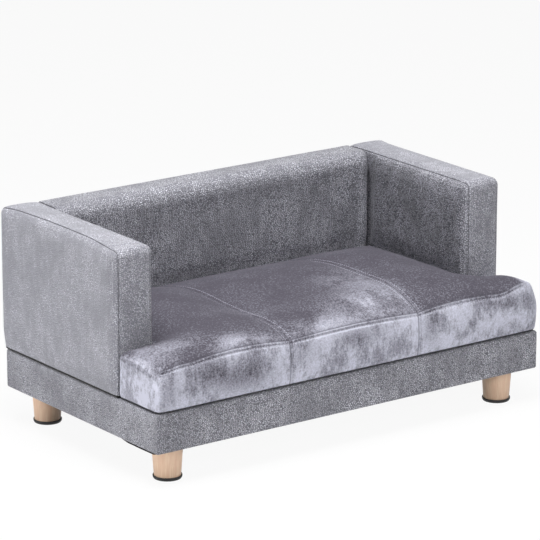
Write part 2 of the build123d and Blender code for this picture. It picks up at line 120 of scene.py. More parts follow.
# Height of the painted shade in the gap along the foot of the arm and back covers.
arm_gap_shade = 0.0046
back_top_radius = 0.020
back_end_radius = 0.010
back_panel_puff = 0.005
back_rear_puff = 0.0015
back_shown_from = -0.020
back_shown_to = 0.030
back_swell = 0.0012
back_swell_size = 0.070
back_fold = 0.0040
back_fold_from_end = 0.013
back_fold_width = 0.006
# Painted shade where the back's ends meet the arms: its width, and the depth below the top over which it
# fades in.
back_end_gap_shade = 0.0090
back_end_gap_shade_top = (0.012, 0.035)
back_rear_facing = (0.1, 0.5)

# Base cover.
base_corner_radius = 0.0035
base_top_radius = 0.004
base_bottom_radius = 0.003
base_hem = 0.020
cover_cloth = 0.0015
base_ripple = 0.0005
base_ripple_size = 0.045

# Dust cover.
dust_cell = 0.006
dust_cloth = 0.0006
dust_hang = 0.0025
dust_stapled_edge = 0.060
dust_hang_run = 0.10
dust_fold = 0.0007
dust_fold_size = 0.030
dust_round_leg = (0.024, 0.045)
dust_droop = 0.0040
dust_droop_reach = 0.012
dust_droop_length = (0.070, 0.105)

# Seat cushion: its seams and stitches.
panel_seam_x = 0.115
stitch_gap = 0.0055
seam_lip = 0.0027
seam_row_reach = 0.010
cushion_seam_groove = 0.0012
cushion_stitch_groove = 0.0008
stitch_length = 0.0034
stitch_pitch = 0.0046
stitch_thickness = 0.0008

# Seat cushion: its outline and rounded edges.
cushion_side_gap = 0.0012
cushion_ear_gap = 0.0008
cushion_edge_top = 0.178
cushion_foot_radius = 0.006
cushion_end_radius = 0.014
cushion_right_radius = 0.030
cushion_foot_corner = 0.008
cushion_top_corner = 0.025
cushion_ear_corner = 0.004
cushion_side_radius = 0.006
cushion_corner_from = 0.45

# Seat cushion: its crowned top.
cushion_crown = 0.027
cushion_panel_crown = 0.004
cushion_edge_rise = 0.006
cushion_left_drop = 0.011
cushion_left_drop_reach = (0.045, 0.060)
cushion_right_shoulder = 0.012
cushion_right_shoulder_depth = 0.095
cushion_shoulder_start = 0.020
cushion_ear_flat = 0.015
cushion_ear_flat_run = (0.020, 0.015)
cushion_roll_length = 0.088
cushion_side_length = 0.120
cushion_rear_length = 0.150
cushion_end_length = 0.085
cushion_lift_power = 1.5
cushion_sag_depth = 0.014
cushion_sag_place = (-0.105, -0.070)
cushion_sag_reach = (0.085, 0.130)

# Seat cushion: its filling.
cushion_pressure = 4.0
cushion_growth = 0.02
cushion_puff = 0.0025
cushion_wall_puff = 0.003
cushion_seam_fade = 0.014
cushion_wall_bulge = 0.004
cushion_bulge_power = 0.7
cushion_bulge_run = 0.03
cushion_pucker = 0.0009
cushion_pucker_size = 0.0075
cushion_pucker_stretch = (1, 0.3, 0.12)
cushion_pucker_reach = 0.013
cushion_swell = 0.0014
cushion_swell_size = 0.060
# Height of the painted shade in the gap where the cushion sits on the base.
cushion_gap_shade = 0.0040
zip_clear_height = 0.158
rear_fill = 0.006
rear_fill_rise = 0.012
# Painted sheen and shade where the pile leans: pale patches on the top as x, y, their reach and gain,
# dark ones on the front
#  as x, z, their reach and loss.
pale_sheen_patches = ((0.055, -0.165, 0.052, 0.032, 0.52), (-0.045, -0.186, 0.055, 0.016, 0.48),
                (0.075, -0.090, 0.028, 0.055, 0.32), (-0.205, -0.186, 0.038, 0.015, 0.40),
                (-0.160, -0.190, 0.030, 0.010, 0.25), (-0.325, -0.150, 0.040, 0.045, 0.30),
                (-0.268, -0.165, 0.028, 0.022, 0.20))
dark_shade_patches = ((0.006, 0.162, 0.044, 0.016, 0.52), (-0.098, 0.158, 0.013, 0.026, 0.45),
                (0.137, 0.157, 0.016, 0.032, 0.45), (-0.200, 0.142, 0.055, 0.024, 0.52),
                (-0.262, 0.154, 0.040, 0.020, 0.36), (-0.326, 0.143, 0.016, 0.035, 0.34),
                (0.268, 0.168, 0.055, 0.012, 0.30))
# How far under the rim the wall turns pale with painted sheen, how much paler it is there and again
# beyond the stitches,
#  and how the pile lies along the panel seams and at the ends: paler there with painted sheen, with
#  painted shade beside the seams.
rim_limit = 0.005
rim_limit_top = 0.011
rim_limit_side = 0.004
rim_left_run = 0.030
rim_wrap = (0.009, 0.018)
rim_wrap_back = (0.003, 0.020, 0.090)
rim_softness = 0.001
wall_sheen = 0.38
seam_sheen = 0.16
seam_sheen_reach = 0.014
seam_sheen_run = (0.030, -0.140)
seam_flank_shade = 0.28
seam_flank_place = 0.0035
seam_flank_width = 0.003
end_sheen = 0.45
end_facing = (0.5, 0.9)
# Above this share of straight up, a face belongs to the cushion's top. Other faces within this depth
# belong to its front.
top_facing = 0.4
front_depth = 0.02

# Glides: the moulded rim from the underside up, as how far it lies beyond the pad and how high.
glide_rim = ((-0.0030, 0.0), (-0.0008, 0.0007), (0.0003, 0.0024), (0.0006, 0.0044), (0.0002, 0.0056),
             (-0.0006, 0.0056), (-0.0009, 0.0046))
glide_wall = 0.0014
glide_top_gap = 0.0001
glide_turn_steps = 64
glide_sharp_angle = 50

# Light and floor: strength of the sky, size and white share of the floor, and each lamp's name,
# place, target, width, height and watts.
sky_light = 0.12
floor_size = 30
floor_white_share = 0.93
lamps = (("top_softbox", (-0.40, -0.35, 2.2), (0, 0, 0.20), 1.4, 1.2, 62),
         ("front_softbox", (-0.3, -2.4, 1.5), (0, 0, 0.15), 1.6, 0.9, 20),
         ("left_softbox", (-2.2, 0.6, 0.30), (0, 0, 0.15), 1.4, 0.5, 16))


def colour(code):
    """An sRGB hex colour as linear red, green, blue and alpha."""
    parts = [int(code[i:i + 2], 16) / 255 for i in (1, 3, 5)]
    linear = [c / 12.92 if c <= 0.04045 else ((c + 0.055) / 1.055) ** 2.4 for c in parts]
    return (*linear, 1.0)


def add(tree, kind, inputs=None, **settings):
    """Adds a node with its settings. Each input takes a value, or the socket that feeds it, or a node
    whose first socket does."""
    made = tree.nodes.new(kind)
    for name, value in settings.items():
        setattr(made, name, value)
    for name, value in (inputs or {}).items():
        if isinstance(value, bpy.types.Node):
            value = value.outputs[0]
        if isinstance(value, bpy.types.NodeSocket):
            tree.links.new(value, made.inputs[name])
        else:
            made.inputs[name].default_value = value
    return made


def new_material(name):
    """An empty material, its nodes and the socket of the object's own coordinates."""
    made = bpy.data.materials.new(name)
    made.use_nodes = True
    tree = made.node_tree
    tree.nodes.clear()
    return made, tree, add(tree, "ShaderNodeTexCoord").outputs["Object"]


def new_object(name, data):
    """An object in the scene for the mesh, curve, lamp or camera."""
    made = bpy.data.objects.new(name, data)
    bpy.context.scene.collection.objects.link(made)
    return made


def only(piece):
    """Makes the piece the one that operators act on."""
    bpy.ops.object.select_all(action="DESELECT")
    piece.select_set(True)
    bpy.context.view_layer.objects.active = piece


def edit(on):
    """Goes into edit mode or leaves it."""
    bpy.ops.object.mode_set(mode="EDIT" if on else "OBJECT")


def block(name, low, high):
    """A cube stretched between two corners, with its place in its mesh."""
    bpy.ops.object.select_all(action="DESELECT")
    low, high = Vector(low), Vector(high)
    bpy.ops.mesh.primitive_cube_add(size=1, location=(low + high) / 2, scale=high - low)
    made = bpy.context.object
    made.name = name
    made.data.name = name
    bpy.ops.object.transform_apply(location=True, rotation=True, scale=True)
    return made


def choose(piece, kind, test):
    """In edit mode, selects the piece's verts, edges or faces that pass the test, and no others."""
    bpy.ops.mesh.select_mode(type={"verts": "VERT", "edges": "EDGE", "faces": "FACE"}[kind])
    bpy.ops.mesh.select_all(action="DESELECT")
    mesh = bmesh.from_edit_mesh(piece.data)
    for part in getattr(mesh, kind):
        if test(part):
            part.select_set(True)
    bmesh.update_edit_mesh(piece.data)


def ends(edge, axis):
    """The lower and the higher place of an edge's ends along the axis."""
    return sorted(corner.co[axis] for corner in edge.verts)


def cut_rows(piece, axis, places, steps):
    """Cuts the piece across the axis at each inner place, then evenly between them at about the steps."""
    for place in places[1:-1]:
        mesh = bmesh.from_edit_mesh(piece.data)
        spans = [ends(edge, axis) for edge in mesh.edges]
        if not any(low < place - tiny and high > place + tiny for low, high in spans):
            continue
        point = [0, 0, 0]
        point[axis] = place
        direction = [0, 0, 0]
        direction[axis] = 1
        bpy.ops.mesh.select_all(action="SELECT")
        bpy.ops.mesh.bisect(plane_co=point, plane_no=direction)
    for low, high, step in zip(places, places[1:], steps):
        cuts = round((high - low) / step) - 1
        if cuts > 0:
            choose(piece, "edges",
                   lambda e: abs(ends(e, axis)[0] - low) < tiny and abs(ends(e, axis)[1] - high) < tiny)
            bpy.ops.mesh.subdivide(number_cuts=cuts)


def ruled_block(name, low, high, *rows):
    """A block cut into rows. Each is its axis, its places and the steps between them."""
    made = block(name, low, high)
    edit(True)
    for axis, places, steps in rows:
        cut_rows(made, axis, places, steps)
    edit(False)
    return made


def edge_rows(axis, low, high, first, last):
    """Rows along one axis of a box, with fine ones over its first and last stretch."""
    return axis, (low[axis], low[axis] + first, high[axis] - last, high[axis]), fine_ends


def points(piece):
    """The places of the piece's corners as an array."""
    found = np.empty(len(piece.data.vertices) * 3)
    piece.data.vertices.foreach_get("co", found)
    return found.reshape(-1, 3)


def put_points(piece, places):
    """Moves the piece's corners to these places."""
    piece.data.vertices.foreach_set("co", places.ravel())
    piece.data.update()


def directions(piece):
    """The direction that each corner's surface faces."""
    found = np.empty(len(piece.data.vertices) * 3)
    piece.data.vertex_normals.foreach_get("vector", found)
    return found.reshape(-1, 3)


def push(piece, reach):
    """Moves each corner of the piece by its reach along the direction that it faces."""
    put_points(piece, points(piece) + directions(piece) * reach[:, None])


def near(values, place):
    """Which values lie at the place."""
    return np.abs(values - place) < tiny


def in_order(marks, key):
    """The marked corners, in the order of the key."""
    chosen = np.flatnonzero(marks)
    return chosen[np.argsort(key[chosen])]


def ease(values, low, high):
    """A smooth step from 0 at low to 1 at high."""
    share = np.clip((values - low) / (high - low), 0, 1)
    return share * share * (3 - 2 * share)


def rise(distance, length):
    """A parabola that climbs from 0 at an edge to 1 at the length."""
    return 1 - (1 - np.clip(distance / length, 0, 1)) ** 2


def hump(distance, width):
    """A bell curve, 1 where the distance is 0 and almost 0 beyond twice the width."""
    return np.exp(-(distance / width) ** 2)


def walls(low, high):
    """A box's walls, left, right, front, rear, foot and top, each as its axis, place and outward sign."""
    return [(axis, end[axis], sign) for axis in (X, Y, Z) for end, sign in ((low, -1), (high, 1))]


def round_edge(places, first, second, radius, where=True):
    """Rounds the edge between two walls. The radius is one number, or one for each place."""
    (axis_a, wall_a, sign_a), (axis_b, wall_b, sign_b) = first, second
    radius = np.broadcast_to(radius, len(places))
    u = 1 - (wall_a - places[:, axis_a]) * sign_a / radius
    v = 1 - (wall_b - places[:, axis_b]) * sign_b / radius
    inside = (u > 0) & (v > 0) & where
    shrink = np.maximum(u, v)[inside] / np.hypot(u, v)[inside]
    places[inside, axis_a] = wall_a - sign_a * radius[inside] * (1 - u[inside] * shrink)
    places[inside, axis_b] = wall_b - sign_b * radius[inside] * (1 - v[inside] * shrink)


def distance_to(places, marks):
    """How far each place is from the nearest marked one."""
    chosen = np.flatnonzero(marks)
    tree = kdtree.KDTree(len(chosen))
    for i in chosen:
        tree.insert(places[i], int(i))
    tree.balance()
    return np.array([tree.find(place)[2] for place in places])


def close_to(places, marks, reach):
    """1 at the marked places, fading to 0 over a few times the reach."""
    return np.exp(-distance_to(places, marks) / reach)


def wander(places, size, seed):
    """Soft noise from about -1 to 1 at each place, with swells of about the size."""
    return np.array([noise.noise(Vector(place) / size + Vector((seed, 0, 0))) for place in places])


def stuff(piece, held, room, pressure=15.0, growth=0.01, steps=20):
    """Blows the cover up as its stuffing does: held points stay, none moves further than its room, and
    the foam under the cover keeps it out by most of that."""
    start = points(piece)
    facing = directions(piece)
    only(piece)
    seams = piece.vertex_groups.new(name="held")
    seams.add([int(i) for i in np.flatnonzero(held)], 1.0, "REPLACE")
    cloth = piece.modifiers.new("stuffing", "CLOTH")
    cloth.settings.vertex_group_mass = seams.name
    cloth.settings.use_pressure = True
    cloth.settings.uniform_pressure_force = pressure
    cloth.settings.shrink_min = -growth
    cloth.settings.effector_weights.gravity = 0
    cloth.collision_settings.use_collision = False
    for step in range(1, steps + 1):
        bpy.context.scene.frame_set(step)
    bpy.ops.object.modifier_apply(modifier=cloth.name)
    bpy.context.scene.frame_set(1)
    moved = points(piece) - start
    length = np.linalg.norm(moved, axis=1) + tiny * tiny
    allowed = room * np.tanh(length / np.maximum(room, tiny))
    moved = moved * (allowed / length)[:, None]
    short = np.maximum(foam_share * room - (moved * facing).sum(axis=1), 0)
    put_points(piece, start + moved + facing * short[:, None])
    piece.vertex_groups.clear()


def crease(piece, marks):
    """Keeps the marked seams crisp when the cover is smoothed."""
    layer = piece.data.attributes.new("crease_edge", "FLOAT", "EDGE")
    pairs = np.empty(len(piece.data.edges) * 2, dtype=int)
    piece.data.edges.foreach_get("vertices", pairs)
    pairs = pairs.reshape(-1, 2)
    both_marked = marks[pairs[:, 0]] & marks[pairs[:, 1]]
    layer.data.foreach_set("value", both_marked.astype(np.float32) * seam_crispness)


def keep_value(piece, name, values):
    """Keeps one number for each of the piece's corners on its mesh."""
    layer = piece.data.attributes.new(name, "FLOAT", "POINT")
    layer.data.foreach_set("value", values.astype(np.float32))


def kept_value(piece, name):
    """The numbers that the piece's mesh keeps under the name."""
    found = np.empty(len(piece.data.vertices), dtype=np.float32)
    piece.data.attributes[name].data.foreach_get("value", found)
    return found


def thicken(piece, thickness, offset):
    """Gives a cloth its thickness: inside its surface at offset -1, half to each side at 0."""
    only(piece)
    cloth = piece.modifiers.new("cloth", "SOLIDIFY")
    cloth.thickness = thickness
    cloth.offset = offset
    bpy.ops.object.modifier_apply(modifier=cloth.name)
    bpy.ops.object.shade_smooth()


def smooth_once(piece):
    """One subdivision, applied, with smooth shading."""
    only(piece)
    finer = piece.modifiers.new("finer", "SUBSURF")
    finer.levels = 1
    finer.render_levels = 1
    bpy.ops.object.modifier_apply(modifier=finer.name)
    bpy.ops.object.shade_smooth()


def finish_cover(piece, seams, seam_depth=seam_groove, stitched=None, stitch_depth=0.0):
    """Smooths a stuffed cover once and presses its seams and rows of stitching in."""
    crease(piece, seams)
    keep_value(piece, "seam", seams.astype(float))
    if stitched is not None:
        keep_value(piece, "stitched", stitched.astype(float))
    smooth_once(piece)
    depth = seam_depth * np.clip(2 * kept_value(piece, "seam") - 1, 0, 1)
    if stitched is not None:
        depth = np.maximum(depth, stitch_depth * np.clip(2 * kept_value(piece, "stitched") - 1, 0, 1))
    push(piece, -depth)


def gap_shade_at(distance, height):
    """Painted shade along the gap where a cover meets the next part: 1 at the cover's edge, 0 on its open
    face.
    """
    return 1 - ease(distance, height * gap_shade_dark_share, height)


def settle(piece, body, slot_name, *nodes, made_of=None):
    """Gives the finished piece its slot's finish or its own, its body and the CAD nodes it stands for."""
    piece.data.materials.clear()
    piece.data.materials.append(made_of or finishes[slot_name])
    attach(piece, body)
    if nodes:
        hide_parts(*nodes)
    return piece


def thread_line(name, path, radius):
    """A thin thread laid along the points of a path."""
    line = bpy.data.curves.new(name, "CURVE")
    line.dimensions = "3D"
    line.bevel_depth = radius
    line.bevel_resolution = 0
    line.use_fill_caps = True
    strand = line.splines.new("POLY")
    strand.points.add(len(path) - 1)
    for point, place in zip(strand.points, path):
        point.co = (*place, 1)
    only(new_object(name, line))
    bpy.ops.object.convert(target="MESH")
    return bpy.context.object


def along(path, pitch):
    """Places at an even pitch along a path, with the path's direction there."""
    path = np.array(path)
    steps = np.linalg.norm(np.diff(path, axis=0), axis=1)
    far = np.concatenate([[0], np.cumsum(steps)])
    count = max(1, int(far[-1] / pitch))
    spots = (np.arange(count) + 0.5) * far[-1] / count
    middle = np.stack([np.interp(spots, far, path[:, i]) for i in range(3)], axis=1)
    ahead = np.stack([np.interp(spots + pitch / 4, far, path[:, i]) for i in range(3)], axis=1)
    behind = np.stack([np.interp(spots - pitch / 4, far, path[:, i]) for i in range(3)], axis=1)
    return middle, ahead - behind


def row_of_stitches(name, paths, length, pitch, thickness):
    """Short stitches, one modelled and the rest copied, laid along each path."""
    bpy.ops.object.select_all(action="DESELECT")
    bpy.ops.mesh.primitive_uv_sphere_add(segments=6, ring_count=4, radius=0.5)
    stitch = bpy.context.object
    shape = points(stitch) * (thickness, thickness, length)
    faces = [list(face.vertices) for face in stitch.data.polygons]
    bpy.data.objects.remove(stitch)
    corners = []
    outlines = []
    for path in paths:
        for middle, heading in zip(*along(path, pitch)):
            turn = np.array(Vector(heading).to_track_quat("Z", "Y").to_matrix())
            outlines += [[i + len(corners) for i in face] for face in faces]
            corners += list(shape @ turn.T + middle)
    mesh = bpy.data.meshes.new(name)
    mesh.from_pydata([tuple(c) for c in corners], [], outlines)
    made = new_object(name, mesh)
    only(made)
    bpy.ops.object.shade_smooth()
    return made


# Finishes

def faux_leather():
    """Polyurethane faux leather, embossed with pebbles and printed with soft mottling: matt, with a
    quiet sheen at low angles and dark pores between the pebbles. Painted shade makes the pores darker on
    faces that lie in shade and the coat darker on the arms' inner faces, and paints the seams and the
    gaps along the covers' edges near black."""
    pebble = 0.0025
    mottle = 0.012
    cloud = 0.055
    made, tree, place = new_material("embossed_faux_leather")
    bend = add(tree, "ShaderNodeTexNoise", {"Vector": place, "Scale": 1 / pebble / 3, "Detail": 1.0})
    shift = add(tree, "ShaderNodeVectorMath", {0: bend.outputs["Color"], 1: (0.5, 0.5, 0.5)},
                operation="SUBTRACT")
    moved = add(tree, "ShaderNodeVectorMath", {0: shift, 1: (pebble * 0.5,) * 3, 2: place},
                operation="MULTIPLY_ADD")
    squat = add(tree, "ShaderNodeMapping", {"Vector": moved, "Scale": (0.80, 0.80, 1.30)})
    cells = add(tree, "ShaderNodeTexVoronoi", {"Vector": squat, "Scale": 1 / pebble, "Randomness": 0.88},
                feature="DISTANCE_TO_EDGE")
    dome = add(tree, "ShaderNodeMapRange",
               {"Value": cells.outputs["Distance"], "From Min": 0.03, "From Max": 0.32},
               interpolation_type="SMOOTHSTEP")
    tall = add(tree, "ShaderNodeMapping", {"Vector": place, "Scale": (1.0, 1.0, 0.35)})
    blotch = add(tree, "ShaderNodeTexNoise",
                 {"Vector": tall, "Scale": 1 / mottle, "Detail": 4.0, "Roughness": 0.55})
    drift = add(tree, "ShaderNodeTexNoise", {"Vector": place, "Scale": 1 / cloud, "Detail": 2.0})
    patch = add(tree, "ShaderNodeMath", {0: blotch.outputs["Fac"], 1: drift.outputs["Fac"]},
                operation="ADD")
    worn = add(tree, "ShaderNodeMapRange", {"Value": patch, "From Min": 0.82, "From Max": 1.18})
    # Lit and shaded copies of the coat: the darker one is painted shade for the arms' inner faces.
    lit_coat = add(tree, "ShaderNodeMix", {0: worn, 6: colour("#aaaab3"), 7: colour("#dadae4")},
                data_type="RGBA")
    shaded_coat = add(tree, "ShaderNodeMix", {0: worn, 6: colour("#88888f"), 7: colour("#b6b6c1")},
                data_type="RGBA")
    # The kept shade share: pores darker on faces in shade, and above 0.75 the darker coat, both painted
    # shade.
    grain = add(tree, "ShaderNodeAttribute", attribute_name="grain").outputs["Fac"]
    inner = add(tree, "ShaderNodeMapRange", {"Value": grain, "From Min": 0.75, "From Max": 1.0})
    coat = add(tree, "ShaderNodeMix", {0: inner, 6: lit_coat.outputs[2], 7: shaded_coat.outputs[2]},
               data_type="RGBA")
    shaded_pore = add(tree, "ShaderNodeMix", {0: grain, 6: colour("#8c8c95"), 7: colour("#46464d")},
               data_type="RGBA")
    pored = add(tree, "ShaderNodeMix", {0: dome, 6: shaded_pore.outputs[2], 7: coat.outputs[2]},
                data_type="RGBA")
    # Painted shade, near black, in the seam grooves.
    seam = add(tree, "ShaderNodeAttribute", attribute_name="seam").outputs["Fac"]
    seam_shade = add(tree, "ShaderNodeMapRange",
               {"Value": seam, "From Min": 0.55, "From Max": 1.0, "To Max": 0.9})
    # Painted shade, near black, in the gaps along the covers' edges, with the roughness raised there.
    gap_shade = add(tree, "ShaderNodeAttribute", attribute_name="gap_shade").outputs["Fac"]
    under = add(tree, "ShaderNodeMapRange", {"Value": gap_shade, "From Min": 0.20, "From Max": 0.50})
    hidden = add(tree, "ShaderNodeMath", {0: under, 1: seam_shade}, operation="MAXIMUM")
    grey = add(tree, "ShaderNodeMix", {0: hidden, 6: pored.outputs[2], 7: colour("#070708")},
               data_type="RGBA")
    dull = add(tree, "ShaderNodeMapRange", {"Value": under, "To Min": 0.52, "To Max": 1.0})
    bump = add(tree, "ShaderNodeBump", {"Height": dome, "Strength": 1.0, "Distance": 0.0008})
    shader = add(tree, "ShaderNodeBsdfPrincipled",
                 {"Base Color": grey.outputs[2], "Normal": bump, "Roughness": dull, "IOR": 1.46,
                  "Sheen Weight": 0.12, "Sheen Roughness": 0.4})
    add(tree, "ShaderNodeOutputMaterial", {"Surface": shader})
    return made


def crushed_velvet():
    """Crushed polyester velvet: its pile lies in patches, with upright crush marks and a soft bloom at
    low angles.
     The pile's pale and dark are painted sheen kept on the mesh, pale where it leans to the light and
     dark where it leans away, and the seams and the gap along its foot get painted shade."""
    mark = 0.0070
    drift = 0.050
    # Real tufts of pile are under 1 mm, too fine to show, so they are drawn at 2.4 mm.
    fleck = 0.0024
    made, tree, place = new_material("crushed_velvet")
    pile_sheen = add(tree, "ShaderNodeAttribute", attribute_name="pile_sheen").outputs["Fac"]
    tall = add(tree, "ShaderNodeMapping", {"Vector": place, "Scale": (1.0, 1.0, 0.42)})
    marks = add(tree, "ShaderNodeTexNoise",
                {"Vector": tall, "Scale": 1 / mark, "Detail": 7.0, "Roughness": 0.80, "Distortion": 0.15})
    wide = add(tree, "ShaderNodeTexNoise", {"Vector": place, "Scale": 1 / drift, "Detail": 2.0})
    mixed = add(tree, "ShaderNodeMath", {0: wide.outputs["Fac"], 1: 0.9, 2: marks.outputs["Fac"]},
                operation="MULTIPLY_ADD")
    bruise = add(tree, "ShaderNodeMapRange",
                 {"Value": mixed, "From Min": 0.76, "From Max": 1.06, "To Min": -0.55, "To Max": 0.22},
                 interpolation_type="SMOOTHSTEP")
    depth = add(tree, "ShaderNodeMapRange", {"Value": pile_sheen, "To Min": 0.10, "To Max": 0.95})
    crush = add(tree, "ShaderNodeMath", {0: bruise, 1: depth}, operation="MULTIPLY")
    flecks = add(tree, "ShaderNodeTexNoise",
                 {"Vector": place, "Scale": 1 / fleck, "Detail": 2.0, "Roughness": 0.6})
    grit = add(tree, "ShaderNodeMath", {0: flecks.outputs["Fac"], 1: 1.1, 2: -0.55},
               operation="MULTIPLY_ADD")
    patchy = add(tree, "ShaderNodeMath", {0: crush, 1: pile_sheen}, operation="ADD")
    lean = add(tree, "ShaderNodeMath", {0: grit, 1: 0.85, 2: patchy},
               operation="MULTIPLY_ADD", use_clamp=True)
    # Painted sheen: the pile turns pale where the kept sheen is high and dark where it is low.
    lit_pile = add(tree, "ShaderNodeMix", {0: lean, 6: colour("#4d4a53"), 7: colour("#cccddb")},
                   data_type="RGBA")
    # Painted shade in the seam grooves.
    seam = add(tree, "ShaderNodeAttribute", attribute_name="seam").outputs["Fac"]
    seam_shade = add(tree, "ShaderNodeMapRange",
               {"Value": seam, "From Min": 0.4, "From Max": 1.0, "To Max": 0.75})
    sewn = add(tree, "ShaderNodeMix", {0: seam_shade, 6: lit_pile.outputs[2], 7: colour("#45424b")},
               data_type="RGBA")
    # Painted shade in the gap along the cushion's foot.
    gap_shade = add(tree, "ShaderNodeAttribute", attribute_name="gap_shade").outputs["Fac"]
    pile = add(tree, "ShaderNodeMix", {0: gap_shade, 6: sewn.outputs[2], 7: colour("#141417")},
               data_type="RGBA")
    bump = add(tree, "ShaderNodeBump", {"Height": lean, "Strength": 0.5, "Distance": 0.0008})
    shader = add(tree, "ShaderNodeBsdfPrincipled",
                 {"Base Color": pile.outputs[2], "Normal": bump, "Roughness": 0.9, "IOR": 1.45,
                  "Specular IOR Level": 0.2, "Sheen Weight": 0.10, "Sheen Roughness": 0.35,
                  "Sheen Tint": colour("#dcdce8")})
    add(tree, "ShaderNodeOutputMaterial", {"Surface": shader})
    return made


def turned_wood():
    """Turned pale hardwood under a thin matt lacquer: fine upright grain with warm streaks."""
    # Real grain is about 0.3 mm wide, too fine to show, so it is drawn at 1.2 mm.
    grain = 0.0012
    streak = 0.006
    made, tree, place = new_material("lacquered_turned_wood")
    tall = add(tree, "ShaderNodeMapping", {"Vector": place, "Scale": (1.0, 1.0, 0.06)})
    fibres = add(tree, "ShaderNodeTexNoise",
                 {"Vector": tall, "Scale": 1 / grain, "Detail": 3.0, "Roughness": 0.6})
    streaks = add(tree, "ShaderNodeTexNoise",
                  {"Vector": tall, "Scale": 1 / streak, "Detail": 2.0, "Distortion": 0.4})
    fine = add(tree, "ShaderNodeMapRange",
               {"Value": fibres.outputs["Fac"], "From Min": 0.3, "From Max": 0.7})
    warm = add(tree, "ShaderNodeMapRange",
               {"Value": streaks.outputs["Fac"], "From Min": 0.35, "From Max": 0.68})
    pale = add(tree, "ShaderNodeMix", {0: warm, 6: colour("#f3d8be"), 7: colour("#e4ba9f")},
               data_type="RGBA")
    shade = add(tree, "ShaderNodeMix", {0: fine, 6: colour("#e1bd9e"), 7: pale.outputs[2]},
                data_type="RGBA")
    bump = add(tree, "ShaderNodeBump", {"Height": fine, "Strength": 0.15, "Distance": 0.0003})
    shader = add(tree, "ShaderNodeBsdfPrincipled",
                 {"Base Color": shade.outputs[2], "Normal": bump, "Roughness": 0.45, "IOR": 1.5})
    add(tree, "ShaderNodeOutputMaterial", {"Surface": shader})
    return made


def plain_stuff(name, low, high, size, roughness, stretch=(1.0, 1.0, 1.0), bump_depth=0.0002,
                metallic=0.0):
    """A hidden or small surface: two colours in noise of a real size, with a little relief."""
    made, tree, place = new_material(name)
    drawn = add(tree, "ShaderNodeMapping", {"Vector": place, "Scale": stretch})
    spots = add(tree, "ShaderNodeTexNoise",
                {"Vector": drawn, "Scale": 1 / size, "Detail": 4.0, "Roughness": 0.6})
    share = add(tree, "ShaderNodeMapRange",
                {"Value": spots.outputs["Fac"], "From Min": 0.3, "From Max": 0.7})
    tone = add(tree, "ShaderNodeMix", {0: share, 6: colour(low), 7: colour(high)}, data_type="RGBA")
    bump = add(tree, "ShaderNodeBump", {"Height": share, "Strength": 0.4, "Distance": bump_depth})
    shader = add(tree, "ShaderNodeBsdfPrincipled",
                 {"Base Color": tone.outputs[2], "Normal": bump, "Roughness": roughness,
                  "Metallic": metallic})
    add(tree, "ShaderNodeOutputMaterial", {"Surface": shader})
    return made


def coil_zip():
    """A woven polyester tape with the moulded turns of its coil along the middle: charcoal, matt on
    the tape and glossier on the coil, with a fine rib across it."""
    pitch = 0.0013
    rib = 0.0006
    coil_height = sum(corner.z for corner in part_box("cushion_zip")) / 2
    coil_reach = 0.0021
    made, tree, place = new_material("woven_tape_with_moulded_coil")
    parts = add(tree, "ShaderNodeSeparateXYZ", {"Vector": place})
    across, up = parts.outputs["X"], parts.outputs["Z"]
    turn = add(tree, "ShaderNodeMath", {0: across, 1: math.tau / pitch}, operation="MULTIPLY")
    teeth = add(tree, "ShaderNodeMath", {0: turn}, operation="SINE")
    weft = add(tree, "ShaderNodeMath", {0: up, 1: math.tau / rib}, operation="MULTIPLY")
    ribs = add(tree, "ShaderNodeMath", {0: weft}, operation="SINE")
    on_coil = add(tree, "ShaderNodeMath", {0: up, 1: coil_height, 2: coil_reach}, operation="COMPARE")
    relief = add(tree, "ShaderNodeMix", {0: on_coil, 2: ribs, 3: teeth}, data_type="FLOAT")
    share = add(tree, "ShaderNodeMapRange", {"Value": relief, "From Min": -1.0, "From Max": 1.0})
    tape = add(tree, "ShaderNodeMix", {0: share, 6: colour("#232328"), 7: colour("#34343b")},
               data_type="RGBA")
    coil = add(tree, "ShaderNodeMix", {0: share, 6: colour("#0d0d10"), 7: colour("#4a4a52")},
               data_type="RGBA")
    tone = add(tree, "ShaderNodeMix", {0: on_coil, 6: tape.outputs[2], 7: coil.outputs[2]},
               data_type="RGBA")
    bump = add(tree, "ShaderNodeBump", {"Height": share, "Strength": 0.8, "Distance": 0.0004})
    gloss = add(tree, "ShaderNodeMapRange", {"Value": on_coil, "To Min": 0.85, "To Max": 0.4})
    shader = add(tree, "ShaderNodeBsdfPrincipled",
                 {"Base Color": tone.outputs[2], "Normal": bump, "Roughness": gloss})
    add(tree, "ShaderNodeOutputMaterial", {"Surface": shader})
    return made


